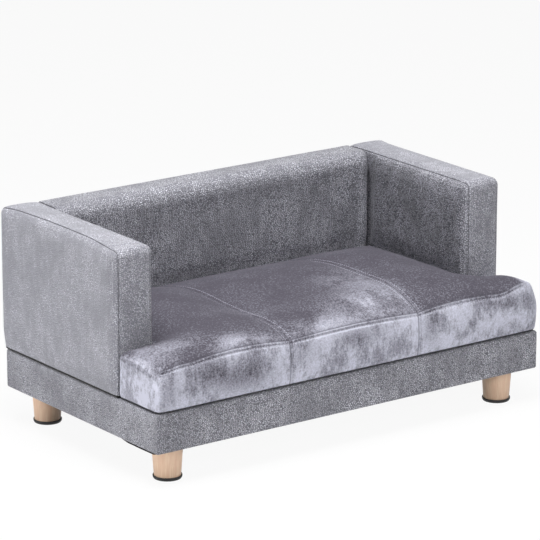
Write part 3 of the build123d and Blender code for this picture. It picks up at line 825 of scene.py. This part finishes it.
# Each slot's finish.
finishes = {
    "faux_leather": faux_leather(),
    "velvet": crushed_velvet(),
    "leg_wood": turned_wood(),
    # Spun-bonded polypropylene: matt black with a faint mesh of fused fibres.
    "black_nonwoven": plain_stuff("spun_bonded_dust_cloth", "#08080a", "#17171a", 0.0009, 0.9),
    # Open-cell foam: cream, with its pores as dark specks.
    "foam": plain_stuff("open_cell_foam", "#c9c1a2", "#ece6cd", 0.0011, 0.95),
    "zip_tape": coil_zip(),
    # Die-cast zinc with dark paint: a smooth satin skin.
    "zip_metal": plain_stuff("painted_die_cast_zinc", "#25252a", "#2f2f35", 0.004, 0.35,
                             bump_depth=0.00005),
    # Moulded rubber: black, matt, faintly dusty.
    "pad_rubber": plain_stuff("moulded_rubber", "#0b0b0c", "#19191b", 0.003, 0.6),
    # Zinc-plated steel: bright, bluish, with fine drawn lines.
    "zinc_steel": plain_stuff("zinc_plated_steel", "#a9adb3", "#c6cad0", 0.002, 0.38,
                              stretch=(1.0, 1.0, 0.2), bump_depth=0.00005, metallic=1.0),
    # Raw rotary-cut plywood: tan, with long stretched figure.
    "plywood": plain_stuff("raw_plywood", "#b08d60", "#d3b488", 0.004, 0.75, stretch=(0.12, 1.0, 1.0)),
    # Raw sawn softwood: pale, with straight grain along the batten.
    "softwood": plain_stuff("sawn_softwood", "#c79b66", "#e5c593", 0.003, 0.75, stretch=(0.1, 0.35, 1.0)),
}
# Spun polyester threads: one a little paler than the velvet that it sews, one dark, laid along the
# leather's seams where it also stands for the painted shade of the seam grooves.
pale_thread = plain_stuff("pale_polyester_thread", "#aaa9b8", "#cfcede", 0.001, 0.7)
seam_shade_thread = plain_stuff("dark_polyester_thread", "#2c2c31", "#45454b", 0.001, 0.8)

for subpart in frame["record"]["subparts"]:
    own = frame["nodes"][subpart["node"]]
    own.data.materials.clear()
    own.data.materials.append(finishes[subpart["material_slot"]])


# Arm covers

def seam_loop(places, marks):
    """The marked points of an upright cover, in order round its profile."""
    middle = places[marks].mean(axis=0)
    return in_order(marks, np.arctan2(places[:, Z] - middle[Z], places[:, Y] - middle[Y]))


def arm_cover(side, name):
    """A padded arm cover: two side panels sewn to one border that runs up the front and over the top."""
    node_name = name.replace("_sewn", "")
    low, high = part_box(node_name)
    back_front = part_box("back_cover")[0].y
    seat_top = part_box("cushion_cover")[1].z
    piece = ruled_block(name, low, high,
                        edge_rows(X, low, high, cover_seam_row, cover_seam_row),
                        edge_rows(Y, low, high, arm_front_radius, arm_rear_radius),
                        edge_rows(Z, low, high, cover_foot_radius, arm_front_radius))
    flat = points(piece)
    x, y, z = flat.T
    outer_x = max(low.x, high.x, key=abs)
    inner_x = min(low.x, high.x, key=abs)
    on_outer = near(x, outer_x)
    on_inner = near(x, inner_x)
    on_foot = near(z, low.z)
    on_rim = near(y, low.y) | near(y, high.y) | near(z, high.z)
    seams = (on_outer | on_inner) & on_rim & ~on_foot

    shaped = flat.copy()
    left, right, front, rear, foot, top = walls(low, high)
    round_edge(shaped, front, top, arm_front_radius)
    round_edge(shaped, rear, top, arm_rear_radius)
    for wall in (front, rear, left, right):
        round_edge(shaped, wall, foot, cover_foot_radius)
    if side < 0:
        height = (shaped[:, Z] - low.z) / (high.z - low.z)
        outward = (shaped[:, X] - inner_x) / (outer_x - inner_x)
        length = (shaped[:, Y] - low.y) / (high.y - low.y)
        start, span = left_arm_arch
        arch = np.clip(np.sin(np.pi * (start + span * length)), 0, 1)
        arch = arch * ease(length, 0, left_arm_arch_front)
        shaped[:, Z] += left_arm_lift * height * outward * arch
    into = seam_inset * close_to(shaped, seams, seam_reach)
    into = into * ease(z - low.z, 0.0, seam_inset_run) * ease(high.y - y, 0.0, seam_inset_run)
    shaped[:, X] -= into * np.where(x > (low.x + high.x) / 2, 1, -1)
    full = ease(z - low.z, 0.0, arm_rear_swell_rise) * ease(y, high.y - arm_rear_swell_run, high.y)
    shaped[:, X] += side * arm_rear_swell * full * on_outer
    put_points(piece, shaped)

    held = (on_outer | on_inner) & (on_rim | on_foot) | on_foot
    fade = 1 - close_to(shaped, held, np.where(on_inner, inner_seam_fade, seam_fade))
    puff = np.full(len(flat), border_puff)
    puff[on_outer] = outer_panel_puff
    puff[on_inner] = inner_panel_puff
    hidden = np.maximum(ease(y, back_front - arm_behind_back, back_front),
                        1 - ease(z, cushion_edge_top - arm_below_cushion, seat_top))
    hidden = np.where(y < low.y + arm_front_free, 0, hidden)
    puff = np.where(on_inner, puff * (1 - arm_held_share * hidden), puff)
    puff = puff * (1 - arm_foot_slack * np.exp(-(z - low.z) / arm_foot_reach))
    stuff(piece, held, puff * fade)

    pucker = arm_pucker * close_to(shaped, seams, arm_pucker_reach)
    pucker = pucker * wander(flat * (1, 0, 1), arm_pucker_size, seed=3 + side) * fade
    swell = arm_swell * wander(flat, arm_swell_size, seed=7 + side) * fade
    fold = arm_fold_depth * hump(y - low.y - arm_fold_from_front, arm_fold_width)
    fold = fold * near(z, high.z) * ~(on_outer | on_inner) * (1 if side < 0 else right_arm_fold_share)
    push(piece, pucker + swell - fold)
    loops = {"outer": seam_loop(flat, seams & on_outer), "inner": seam_loop(flat, seams & on_inner)}
    finish_cover(piece, seams)
    # Painted shade in the gap where the arm meets the base.
    keep_value(piece, "gap_shade", gap_shade_at(points(piece)[:, Z] - low.z, arm_gap_shade))
    # Painted shade: darker pores on the front face, and darker pores and coat on the inner face.
    facing = directions(piece)
    grain = np.maximum(-arm_front_pore_shade * facing[:, Y], -side * facing[:, X])
    keep_value(piece, "grain", np.clip(grain, 0, 1))
    # Dark threads along the seams, which also stand for the painted shade of their grooves.
    lines = [thread_line(f"{name}_{place}_seam", points(piece)[loop], seam_thread)
             for place, loop in loops.items()]
    inside = [n for n in frame["nodes"] if n.startswith(node_name.replace("cover", "")) and "foam" in n]
    settle(piece, "sofa", "faux_leather", node_name, *inside)
    for line in lines:
        settle(line, "sofa", "faux_leather", made_of=seam_shade_thread)
    return piece


arm_cover(1, "right_arm_cover_sewn")
arm_cover(-1, "left_arm_cover_sewn")


# Back cover

def back_cover():
    """The padded back between the arms: its soft front rolls over the top and is sewn at the rear."""
    low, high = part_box("back_cover")
    piece = ruled_block("back_cover_sewn", low, high,
                        edge_rows(X, low, high, back_end_radius, back_end_radius),
                        edge_rows(Y, low, high, back_top_radius, arm_rear_radius),
                        edge_rows(Z, low, high, cover_foot_radius, back_top_radius))
    flat = points(piece)
    x, y, z = flat.T
    on_end = near(x, low.x) | near(x, high.x)
    on_front, on_rear = near(y, low.y), near(y, high.y)
    on_foot, on_top = near(z, low.z), near(z, high.z)
    seams = on_rear & on_top | on_end & (on_front | on_top) & ~on_foot

    shaped = flat.copy()
    left, right, front, rear, _, top = walls(low, high)
    round_edge(shaped, front, top, back_top_radius)
    for end in (left, right):
        round_edge(shaped, front, end, back_end_radius)
    round_edge(shaped, rear, top, cover_foot_radius)
    put_points(piece, shaped)

    held = seams | on_end | on_foot
    fade = 1 - close_to(shaped, held, seam_fade)
    forward = np.clip(-directions(piece)[:, Y], 0, 1)
    shown = ease(z, cushion_edge_top + back_shown_from, cushion_edge_top + back_shown_to)
    puff = border_puff * (1 - forward) + back_panel_puff * forward * shown
    puff[on_rear & ~on_top] = back_rear_puff
    stuff(piece, held, puff * fade)
    swell = back_swell * wander(flat, back_swell_size, seed=11) * fade
    swell += back_fold * hump(high.x - np.abs(x) - back_fold_from_end, back_fold_width) * forward * shown
    push(piece, swell)
    rear_seam = in_order(on_rear & on_top, x)
    finish_cover(piece, seams)
    places = points(piece)
    facing = directions(piece)
    # Painted shade where the back's ends meet the arms and in the gap along its foot.
    end_shade = gap_shade_at(high.x - np.abs(places[:, X]), back_end_gap_shade)
    end_shade = end_shade * ease(high.z - places[:, Z], *back_end_gap_shade_top)
    end_shade = end_shade * (1 - ease(facing[:, Y], *back_rear_facing))
    keep_value(piece, "gap_shade", np.maximum(end_shade, gap_shade_at(places[:, Z] - low.z, arm_gap_shade)))
    # Painted shade: darker pores on the front and, less, on the top.
    grain = np.maximum(-back_pore_shade * facing[:, Y], back_top_pore_shade * facing[:, Z])
    keep_value(piece, "grain", np.clip(grain, 0, 1))
    line = thread_line("back_cover_rear_seam", points(piece)[rear_seam], seam_thread)
    settle(piece, "sofa", "faux_leather", "back_cover", "back_front_foam", "back_top_foam")
    settle(line, "sofa", "faux_leather", made_of=seam_shade_thread)


back_cover()


# Base cover

def base_cover():
    """The base's tight cover: wrapped round the wooden box and turned in under it, open below."""
    low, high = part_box("base_cover")
    corner = base_corner_radius
    x_rows = (low.x, low.x + corner, low.x + base_hem, high.x - base_hem, high.x - corner, high.x)
    y_rows = (low.y, low.y + corner, low.y + base_hem, high.y - base_hem, high.y - corner, high.y)
    z_rows = (low.z, low.z + base_bottom_radius, high.z - base_top_radius, high.z)
    long_steps = (fine_step / 2, cloth_step, cloth_step, cloth_step, fine_step / 2)
    short_steps = (fine_step / 2, cloth_step, fine_step / 2)
    piece = ruled_block("base_cover_wrapped", low, high,
                        (X, x_rows, long_steps), (Y, y_rows, long_steps), (Z, z_rows, short_steps))
    edit(True)
    choose(piece, "faces", lambda f: all(
        near(v.co.z, low.z) and x_rows[2] - tiny < v.co.x < x_rows[3] + tiny
        and y_rows[2] - tiny < v.co.y < y_rows[3] + tiny for v in f.verts))
    bpy.ops.mesh.delete(type="FACE")
    edit(False)
    flat = points(piece)
    shaped = flat.copy()
    *sides, foot, top = walls(low, high)
    for wall in sides:
        round_edge(shaped, wall, top, base_top_radius)
        round_edge(shaped, wall, foot, base_bottom_radius)
    for wall in sides[:2]:
        for other in sides[2:]:
            round_edge(shaped, wall, other, corner)
    put_points(piece, shaped)
    on_wall = np.any([near(flat[:, axis], place) for axis, place, _ in sides], axis=0)
    push(piece, base_ripple * wander(flat, base_ripple_size, seed=17) * on_wall)
    thicken(piece, cover_cloth, -1)
    facing = directions(piece)
    # Painted shade: darker pores on the front and, less, on the sides, rear, top and underside.
    flanks = np.maximum(np.maximum(np.abs(facing[:, X]), np.abs(facing[:, Z])), facing[:, Y])
    # Painted highlight: the darker pores fade out towards the upper edge of the sides.
    painted_highlight = base_painted_highlight * ease(points(piece)[:, Z], high.z - base_painted_highlight_height, high.z)
    flanks = base_side_pore_shade * flanks * (1 - painted_highlight)
    keep_value(piece, "grain", np.maximum(-base_pore_shade * facing[:, Y], flanks))
    settle(piece, "sofa", "faux_leather", "base_cover")


base_cover()


# Dust cover

def dust_cover():
    """The black cloth stapled under the base: it hangs a little between its staples, and one free edge
    droops at the front of the left side."""
    low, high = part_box("dust_cover")
    wide, deep, _ = high - low
    columns, rows = round(wide / dust_cell), round(deep / dust_cell)
    bpy.ops.object.select_all(action="DESELECT")
    bpy.ops.mesh.primitive_grid_add(x_subdivisions=columns, y_subdivisions=rows, size=1,
                                    location=(low + high) / 2)
    piece = bpy.context.object
    piece.name = "dust_cover_stapled"
    piece.data.name = "dust_cover_stapled"
    piece.scale = (wide, deep, 1)
    bpy.ops.object.transform_apply(location=True, rotation=True, scale=True)
    flat = points(piece)
    x, y, _ = flat.T
    to_edge = np.minimum(high.x - np.abs(x), high.y - np.abs(y))
    hang = dust_hang * rise(np.maximum(to_edge - dust_stapled_edge, 0), dust_hang_run)
    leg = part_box("leg_front_right")
    leg_x, leg_y, _ = (leg[0] + leg[1]) / 2
    from_leg = np.hypot(np.abs(x) - abs(leg_x), np.abs(y) - abs(leg_y))
    folds = dust_fold * wander(flat * (1, 1, 0), dust_fold_size, seed=31)
    folds = folds * ease(from_leg, *dust_round_leg)
    near_end, far_end = dust_droop_length
    loose = 1 - ease(x - low.x, 0.0, dust_droop_reach)
    loose = loose * ease(y, low.y, low.y + dust_droop_reach)
    loose = loose * (1 - ease(y, low.y + near_end, low.y + far_end))
    flat[:, Z] += folds - hang - dust_droop * loose
    put_points(piece, flat)
    thicken(piece, dust_cloth, 0)
    settle(piece, "sofa", "black_nonwoven", "dust_cover")


dust_cover()


# Seat cushion

def cushion_lift(x, y, side_x, end_x, ear_y, front_y, rear_y):
    """How far the cushion's top rises above its sewn edge: three crowned panels rolled over the front."""
    ax = np.abs(x)
    to_front = y - front_y
    to_rear = rear_y - y
    to_end = end_x - ax
    before, after = cushion_ear_flat_run
    ear_flat = cushion_ear_flat * ease(x, side_x - before, side_x + after)
    past_ear = np.maximum(ear_y - y - ear_flat, 0)
    past_side = np.maximum(side_x - ax, 0)
    to_corner = np.where(y > ear_y, past_side, np.hypot(past_ear, past_side))
    to_side = np.where(ax > side_x, past_ear, to_corner)
    roll = rise(to_front, cushion_roll_length)
    plateau = roll * rise(to_side, cushion_side_length) * rise(to_end, cushion_end_length)
    plateau = plateau * rise(to_rear, cushion_rear_length)
    across = np.where(ax < panel_seam_x, x / panel_seam_x,
                      2 * (ax - panel_seam_x) / (side_x - panel_seam_x) - 1)
    panel = np.clip(1 - across ** 2, 0, 1)
    sag_x, sag_y = cushion_sag_place
    reach_x, reach_y = cushion_sag_reach
    sag = cushion_sag_depth * hump(x - sag_x, reach_x) * hump(y - sag_y, reach_y)
    edge = cushion_edge_rise * panel * (1 - roll)
    drop_along, drop_in = cushion_left_drop_reach
    drop = cushion_left_drop * (1 - rise(to_end, drop_along)) * (1 - rise(to_front, drop_in)) * (x < 0)
    shoulder = ease(x, side_x - cushion_shoulder_start, end_x - cushion_right_radius)
    shoulder = cushion_right_shoulder * shoulder * (1 - rise(to_front, cushion_right_shoulder_depth))
    lift = cushion_crown * plateau + cushion_panel_crown * panel * plateau
    return lift + edge + shoulder - sag * plateau - drop


def row_steps(places):
    """A step for each stretch between rows, finer where the stretch is short."""
    steps = [fine_step + abs(b - a) / most_short_steps for a, b in zip(places, places[1:])]
    return [min(cloth_step, step) for step in steps]


def cushion_block(side_x, end_x, front_y, ear_y, rear_y, bottom, top):
    """A T-shaped block, cut into rows along its seams, stitches and rounded edges."""
    piece = block("seat_cushion_sewn", (-end_x, front_y, bottom), (end_x, ear_y, top))
    edit(True)
    cut_rows(piece, X, (-end_x, -side_x, side_x, end_x), (end_x,) * 3)
    choose(piece, "faces",
           lambda f: all(near(v.co.y, ear_y) and abs(v.co.x) < side_x + tiny for v in f.verts))
    bpy.ops.mesh.extrude_region_move(TRANSFORM_OT_translate={"value": (0, rear_y - ear_y, 0)})
    gaps = (seam_lip, stitch_gap, seam_row_reach)
    seam_rows = [panel_seam_x + gap for gap in (*(-gap for gap in reversed(gaps)), 0, *gaps)]
    right_rows = [*seam_rows, side_x - cushion_side_radius, side_x, end_x - cushion_right_radius,
                  end_x - cushion_end_radius, end_x]
    x_rows = [-place for place in reversed(right_rows)] + right_rows
    y_rows = (front_y, front_y + seam_lip, front_y + cushion_top_corner, ear_y - cushion_side_radius,
              ear_y, ear_y + cushion_side_radius, rear_y - cushion_side_radius, rear_y)
    z_rows = (bottom, bottom + cushion_foot_radius, top - cushion_right_radius, top - cushion_end_radius,
              top - stitch_gap, top - seam_lip, top)
    cut_rows(piece, X, x_rows, row_steps(x_rows))
    cut_rows(piece, Y, y_rows, row_steps(y_rows))
    cut_rows(piece, Z, z_rows, (fine_step, cloth_step, cloth_step, fine_step, fine_step, fine_step))
    edit(False)
    return piece


def lay_pile_sheen(piece, front_y):
    """Keeps on the cushion's mesh its painted sheen, by how each face turns and how its pile leans: pale
    below the rim, by the seams, at the ends and in patches, with painted shade beside the seams and in
    dark patches on the front.
    """
    facing = directions(piece)
    x, y, z = points(piece).T
    on_crown = facing[:, Z] > top_facing
    on_face = ~on_crown & (y < front_y + front_depth)
    below = kept_value(piece, "below_rim")
    # Painted sheen: the wall turns pale below the rim and again below the stitches.
    pile_sheen = wall_sheen * ease(below, -rim_softness, rim_softness)
    pile_sheen += wall_sheen * ease(below, stitch_gap - rim_softness, stitch_gap + rim_softness)
    by_seam = np.exp(-np.abs(np.abs(x) - panel_seam_x) / seam_sheen_reach)
    pile_sheen += seam_sheen * by_seam * ease(y, *seam_sheen_run)
    for place_x, place_y, reach_x, reach_y, gain in pale_sheen_patches:
        patch = hump(x - place_x, reach_x) * hump(y - place_y, reach_y)
        if abs(place_x) < panel_seam_x:
            same_panel = np.abs(x) < panel_seam_x
        else:
            same_panel = x * place_x > panel_seam_x ** 2
        pile_sheen += gain * patch * on_crown * same_panel
    for place_x, place_z, reach_x, reach_z, loss in dark_shade_patches:
        pile_sheen -= loss * hump(x - place_x, reach_x) * hump(z - place_z, reach_z) * on_face
    # Painted shade beside each panel seam on the front.
    for seam_x in (-panel_seam_x, panel_seam_x):
        pile_sheen -= seam_flank_shade * hump(x - seam_x - seam_flank_place, seam_flank_width) * on_face
    pile_sheen += end_sheen * ease(np.abs(facing[:, X]), *end_facing)
    keep_value(piece, "pile_sheen", np.clip(pile_sheen, 0, 1))


def seat_cushion():
    """The loose cushion: a T of three sewn panels over a border, with double rows of topstitching."""
    low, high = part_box("cushion_cover")
    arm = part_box("right_arm_cover")[0]
    side_x = arm.x - cushion_side_gap
    ear_y = arm.y - cushion_ear_gap
    end_x, front_y, rear_y, bottom = high.x, low.y, high.y, low.z
    top = cushion_edge_top
    piece = cushion_block(side_x, end_x, front_y, ear_y, rear_y, bottom, top)
    flat = points(piece)
    x, y, z = flat.T
    on_top, on_front, on_foot = near(z, top), near(y, front_y), near(z, bottom)
    on_rear = near(y, rear_y)
    on_end = near(np.abs(x), end_x)
    on_side = near(np.abs(x), side_x) & (y > ear_y - tiny)
    on_ear = near(y, ear_y) & (np.abs(x) > side_x - tiny)
    sewn_face = (on_top | on_front) & ~on_foot
    end_radius = np.where(x > 0, cushion_right_radius, cushion_end_radius)
    panel_seams = near(np.abs(x), panel_seam_x) & sewn_face
    front_seam = on_front & on_top & (x < end_x - cushion_right_radius + tiny)
    border_seam = on_top & (on_ear | on_side | on_rear)
    stitch_sides = [near(np.abs(x), panel_seam_x + gap) & sewn_face for gap in (-stitch_gap, stitch_gap)]
    front_stitch = on_front & near(z, top - stitch_gap) & (x < end_x - cushion_right_radius + tiny)

    shaped = flat.copy()
    ear_part = y < ear_y + tiny
    beyond = np.abs(x) > side_x - tiny
    left, right, front, ear_rear, foot, roof = walls((-end_x, front_y, bottom), (end_x, ear_y, top))
    left_side, right_side, _, rear, _, _ = walls((-side_x, ear_y, bottom), (side_x, rear_y, top))
    for wall in (left, right):
        round_edge(shaped, wall, roof, end_radius, ear_part)
        round_edge(shaped, wall, foot, cushion_foot_radius, ear_part)
    round_edge(shaped, ear_rear, roof, cushion_side_radius, beyond & ear_part)
    for wall in (left_side, right_side):
        round_edge(shaped, wall, roof, cushion_side_radius, ~ear_part)
    round_edge(shaped, rear, roof, cushion_side_radius)
    round_edge(shaped, front, foot, cushion_foot_radius)
    height = np.clip((shaped[:, Z] - bottom) / (top - bottom), 0, 1)
    rounder = (cushion_top_corner - cushion_foot_corner) * ease(height, cushion_corner_from, 1.0)
    corner = cushion_foot_corner + rounder
    for wall in (left, right):
        round_edge(shaped, wall, front, corner, ear_part)
        round_edge(shaped, wall, ear_rear, cushion_ear_corner, ear_part)
    lift = cushion_lift(shaped[:, X], shaped[:, Y], side_x, end_x, ear_y, front_y, rear_y)
    shaped[:, Z] += lift * height ** cushion_lift_power
    bulge = cushion_wall_bulge * np.sin(np.pi * np.clip(height, 0, 1)) ** cushion_bulge_power
    shaped[:, Y] -= bulge * on_front * rise(end_x - np.abs(x), cushion_bulge_run)
    fill = rear_fill * ease(z, zip_clear_height, zip_clear_height + rear_fill_rise)
    fill = fill * ease(y, rear_y - cushion_bulge_run, rear_y)
    shaped[:, Y] += fill * rise(side_x - np.abs(x), cushion_bulge_run)
    put_points(piece, shaped)

    held = panel_seams | front_seam | on_foot | on_rear | on_side | on_ear
    fade = 1 - close_to(shaped, held, cushion_seam_fade)
    puff = np.where(on_top, cushion_puff, cushion_wall_puff)
    stuff(piece, held, puff * fade, cushion_pressure, cushion_growth)

    pucker = cushion_pucker * close_to(shaped, panel_seams | front_seam, cushion_pucker_reach)
    pucker = pucker * wander(flat * cushion_pucker_stretch, cushion_pucker_size, seed=21)
    pucker = pucker * (on_front | on_top) * fade
    swell = cushion_swell * wander(flat, cushion_swell_size, seed=23) * fade
    push(piece, pucker + swell)

    order = np.where(on_front & ~on_top, rear_y - front_y + top - z, rear_y - y)
    rows = [in_order(marks & (x * side > 0), order) for side in (-1, 1) for marks in stitch_sides]
    rows.append(in_order(front_stitch, x))
    stitched = stitch_sides[0] | stitch_sides[1] | front_stitch
    from_front = y - front_y
    wrap, wrap_end = rim_wrap
    back, back_start, back_end = rim_wrap_back
    lowered = rim_limit * ease(-x, end_x - rim_left_run, end_x)
    wrapped = rim_limit + wrap * ease(from_front, 0, wrap_end)
    wrapped = wrapped - back * ease(from_front, back_start, back_end)
    elsewhere = np.where(on_top, rim_limit_top, rim_limit_side)
    limit = np.where(on_front, lowered, np.where(on_end, wrapped, elsewhere))
    to_rim = -np.minimum(from_front, end_x - np.abs(x))
    below = np.where(on_top, to_rim, top - z) - limit
    past_end_seam = x - end_x + cushion_right_radius + top - z
    below = np.where((x > side_x) & ear_part, np.maximum(below, past_end_seam), below)
    keep_value(piece, "below_rim", below)
    all_seams = panel_seams | front_seam | border_seam
    finish_cover(piece, all_seams, cushion_seam_groove, stitched, cushion_stitch_groove)

    lay_pile_sheen(piece, front_y)
    places = points(piece)
    # Painted shade in the gap where the cushion sits on the base.
    keep_value(piece, "gap_shade", gap_shade_at(places[:, Z] - bottom, cushion_gap_shade))
    stitches = row_of_stitches("cushion_topstitching", [places[row] for row in rows],
                               stitch_length, stitch_pitch, stitch_thickness)
    settle(piece, "seat_cushion", "velvet", "cushion_cover", "cushion_front_foam", "cushion_seat_foam")
    settle(stitches, "seat_cushion", "velvet", made_of=pale_thread)


seat_cushion()


# Glides under the legs

def rubber_glide():
    """A glide under the first leg: a dish spun round the leg's axis, its rim curled round the foot."""
    low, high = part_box("pad_front_left")
    middle = (low + high) / 2
    reach = high.x - middle.x
    top = high.z - low.z - glide_top_gap
    rim = [(reach + beyond, up) for beyond, up in glide_rim]
    outline = [(0.0, 0.0), *rim, (reach - glide_wall, top), (0.0, top)]
    mesh = bpy.data.meshes.new("glide_outline")
    edges = [(i, i + 1) for i in range(len(outline) - 1)]
    mesh.from_pydata([(middle.x + r, middle.y, low.z + up) for r, up in outline], edges, [])
    made = new_object("pad_front_left_moulded", mesh)
    only(made)
    edit(True)
    bpy.ops.mesh.select_all(action="SELECT")
    bpy.ops.mesh.spin(steps=glide_turn_steps, angle=math.tau, center=(middle.x, middle.y, 0),
                      axis=(0, 0, 1))
    bpy.ops.mesh.select_all(action="SELECT")
    bpy.ops.mesh.remove_doubles(threshold=tiny)
    bpy.ops.mesh.normals_make_consistent(inside=False)
    edit(False)
    bpy.ops.object.shade_smooth_by_angle(angle=math.radians(glide_sharp_angle))
    return made, middle


def rubber_glides():
    """Four glides, one modelled and the rest copied under their own legs."""
    first, home = rubber_glide()
    for corner in ("front_right", "rear_left", "rear_right"):
        copy = new_object(f"pad_{corner}_moulded", first.data.copy())
        low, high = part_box(f"pad_{corner}")
        put_points(copy, points(copy) + np.array((low + high) / 2 - home))
        settle(copy, "sofa", "pad_rubber", f"pad_{corner}")
    settle(first, "sofa", "pad_rubber", "pad_front_left")


rubber_glides()


# Camera, floor and light

def aim(thing, target):
    """Turns a camera or lamp to look at the target."""
    thing.rotation_euler = (Vector(target) - thing.location).to_track_quat("-Z", "Y").to_euler()


def softbox(name, place, target, width, height, power):
    """A large soft lamp."""
    lamp = bpy.data.lights.new(name, "AREA")
    lamp.shape = "RECTANGLE"
    lamp.size = width
    lamp.size_y = height
    lamp.energy = power
    made = new_object(name, lamp)
    made.location = place
    aim(made, target)


def white_to_camera(tree, lit_closure, output_kind, strength):
    """Shows plain white to the camera and to reflections, and the lit surface to all other light."""
    seen = add(tree, "ShaderNodeLightPath").outputs
    first = add(tree, "ShaderNodeMath", {0: seen["Is Camera Ray"], 1: seen["Is Glossy Ray"]},
                operation="ADD")
    rays = add(tree, "ShaderNodeMath", {0: first, 1: seen["Is Transmission Ray"]},
               operation="ADD", use_clamp=True)
    glow_kind = "ShaderNodeBackground" if output_kind == "ShaderNodeOutputWorld" else "ShaderNodeEmission"
    glow = add(tree, glow_kind, {"Color": (1, 1, 1, 1), "Strength": 1.0})
    share = add(tree, "ShaderNodeMath", {0: rays, 1: strength}, operation="MULTIPLY")
    mixed = add(tree, "ShaderNodeMixShader", {0: share, 1: lit_closure, 2: glow})
    add(tree, output_kind, {"Surface": mixed})


def studio():
    """A pale floor, a white background, soft lamps and the camera."""
    scene = bpy.context.scene
    scene.view_settings.view_transform = "Standard"
    world = bpy.data.worlds.new("studio_white")
    scene.world = world
    world.use_nodes = True
    world.node_tree.nodes.clear()
    sky = add(world.node_tree, "ShaderNodeBackground", {"Color": (1, 1, 1, 1), "Strength": sky_light})
    white_to_camera(world.node_tree, sky, "ShaderNodeOutputWorld", 1.0)

    bpy.ops.object.select_all(action="DESELECT")
    bpy.ops.mesh.primitive_plane_add(size=floor_size, location=(0, 0, 0))
    floor = bpy.context.object
    floor.name = "studio_floor"
    paint = bpy.data.materials.new("matt_white_floor_paint")
    paint.use_nodes = True
    paint.node_tree.nodes.clear()
    matt = add(paint.node_tree, "ShaderNodeBsdfDiffuse", {"Color": colour("#e9e9ea")})
    white_to_camera(paint.node_tree, matt, "ShaderNodeOutputMaterial",
                    floor_white_share)
    floor.data.materials.append(paint)

    for lamp in lamps:
        softbox(*lamp)

    lens = bpy.data.cameras.new("view")
    lens.lens = camera_lens
    lens.sensor_width = sensor_width
    eye = new_object("view", lens)
    eye.location = camera_place
    aim(eye, camera_aim)
    scene.camera = eye


studio()
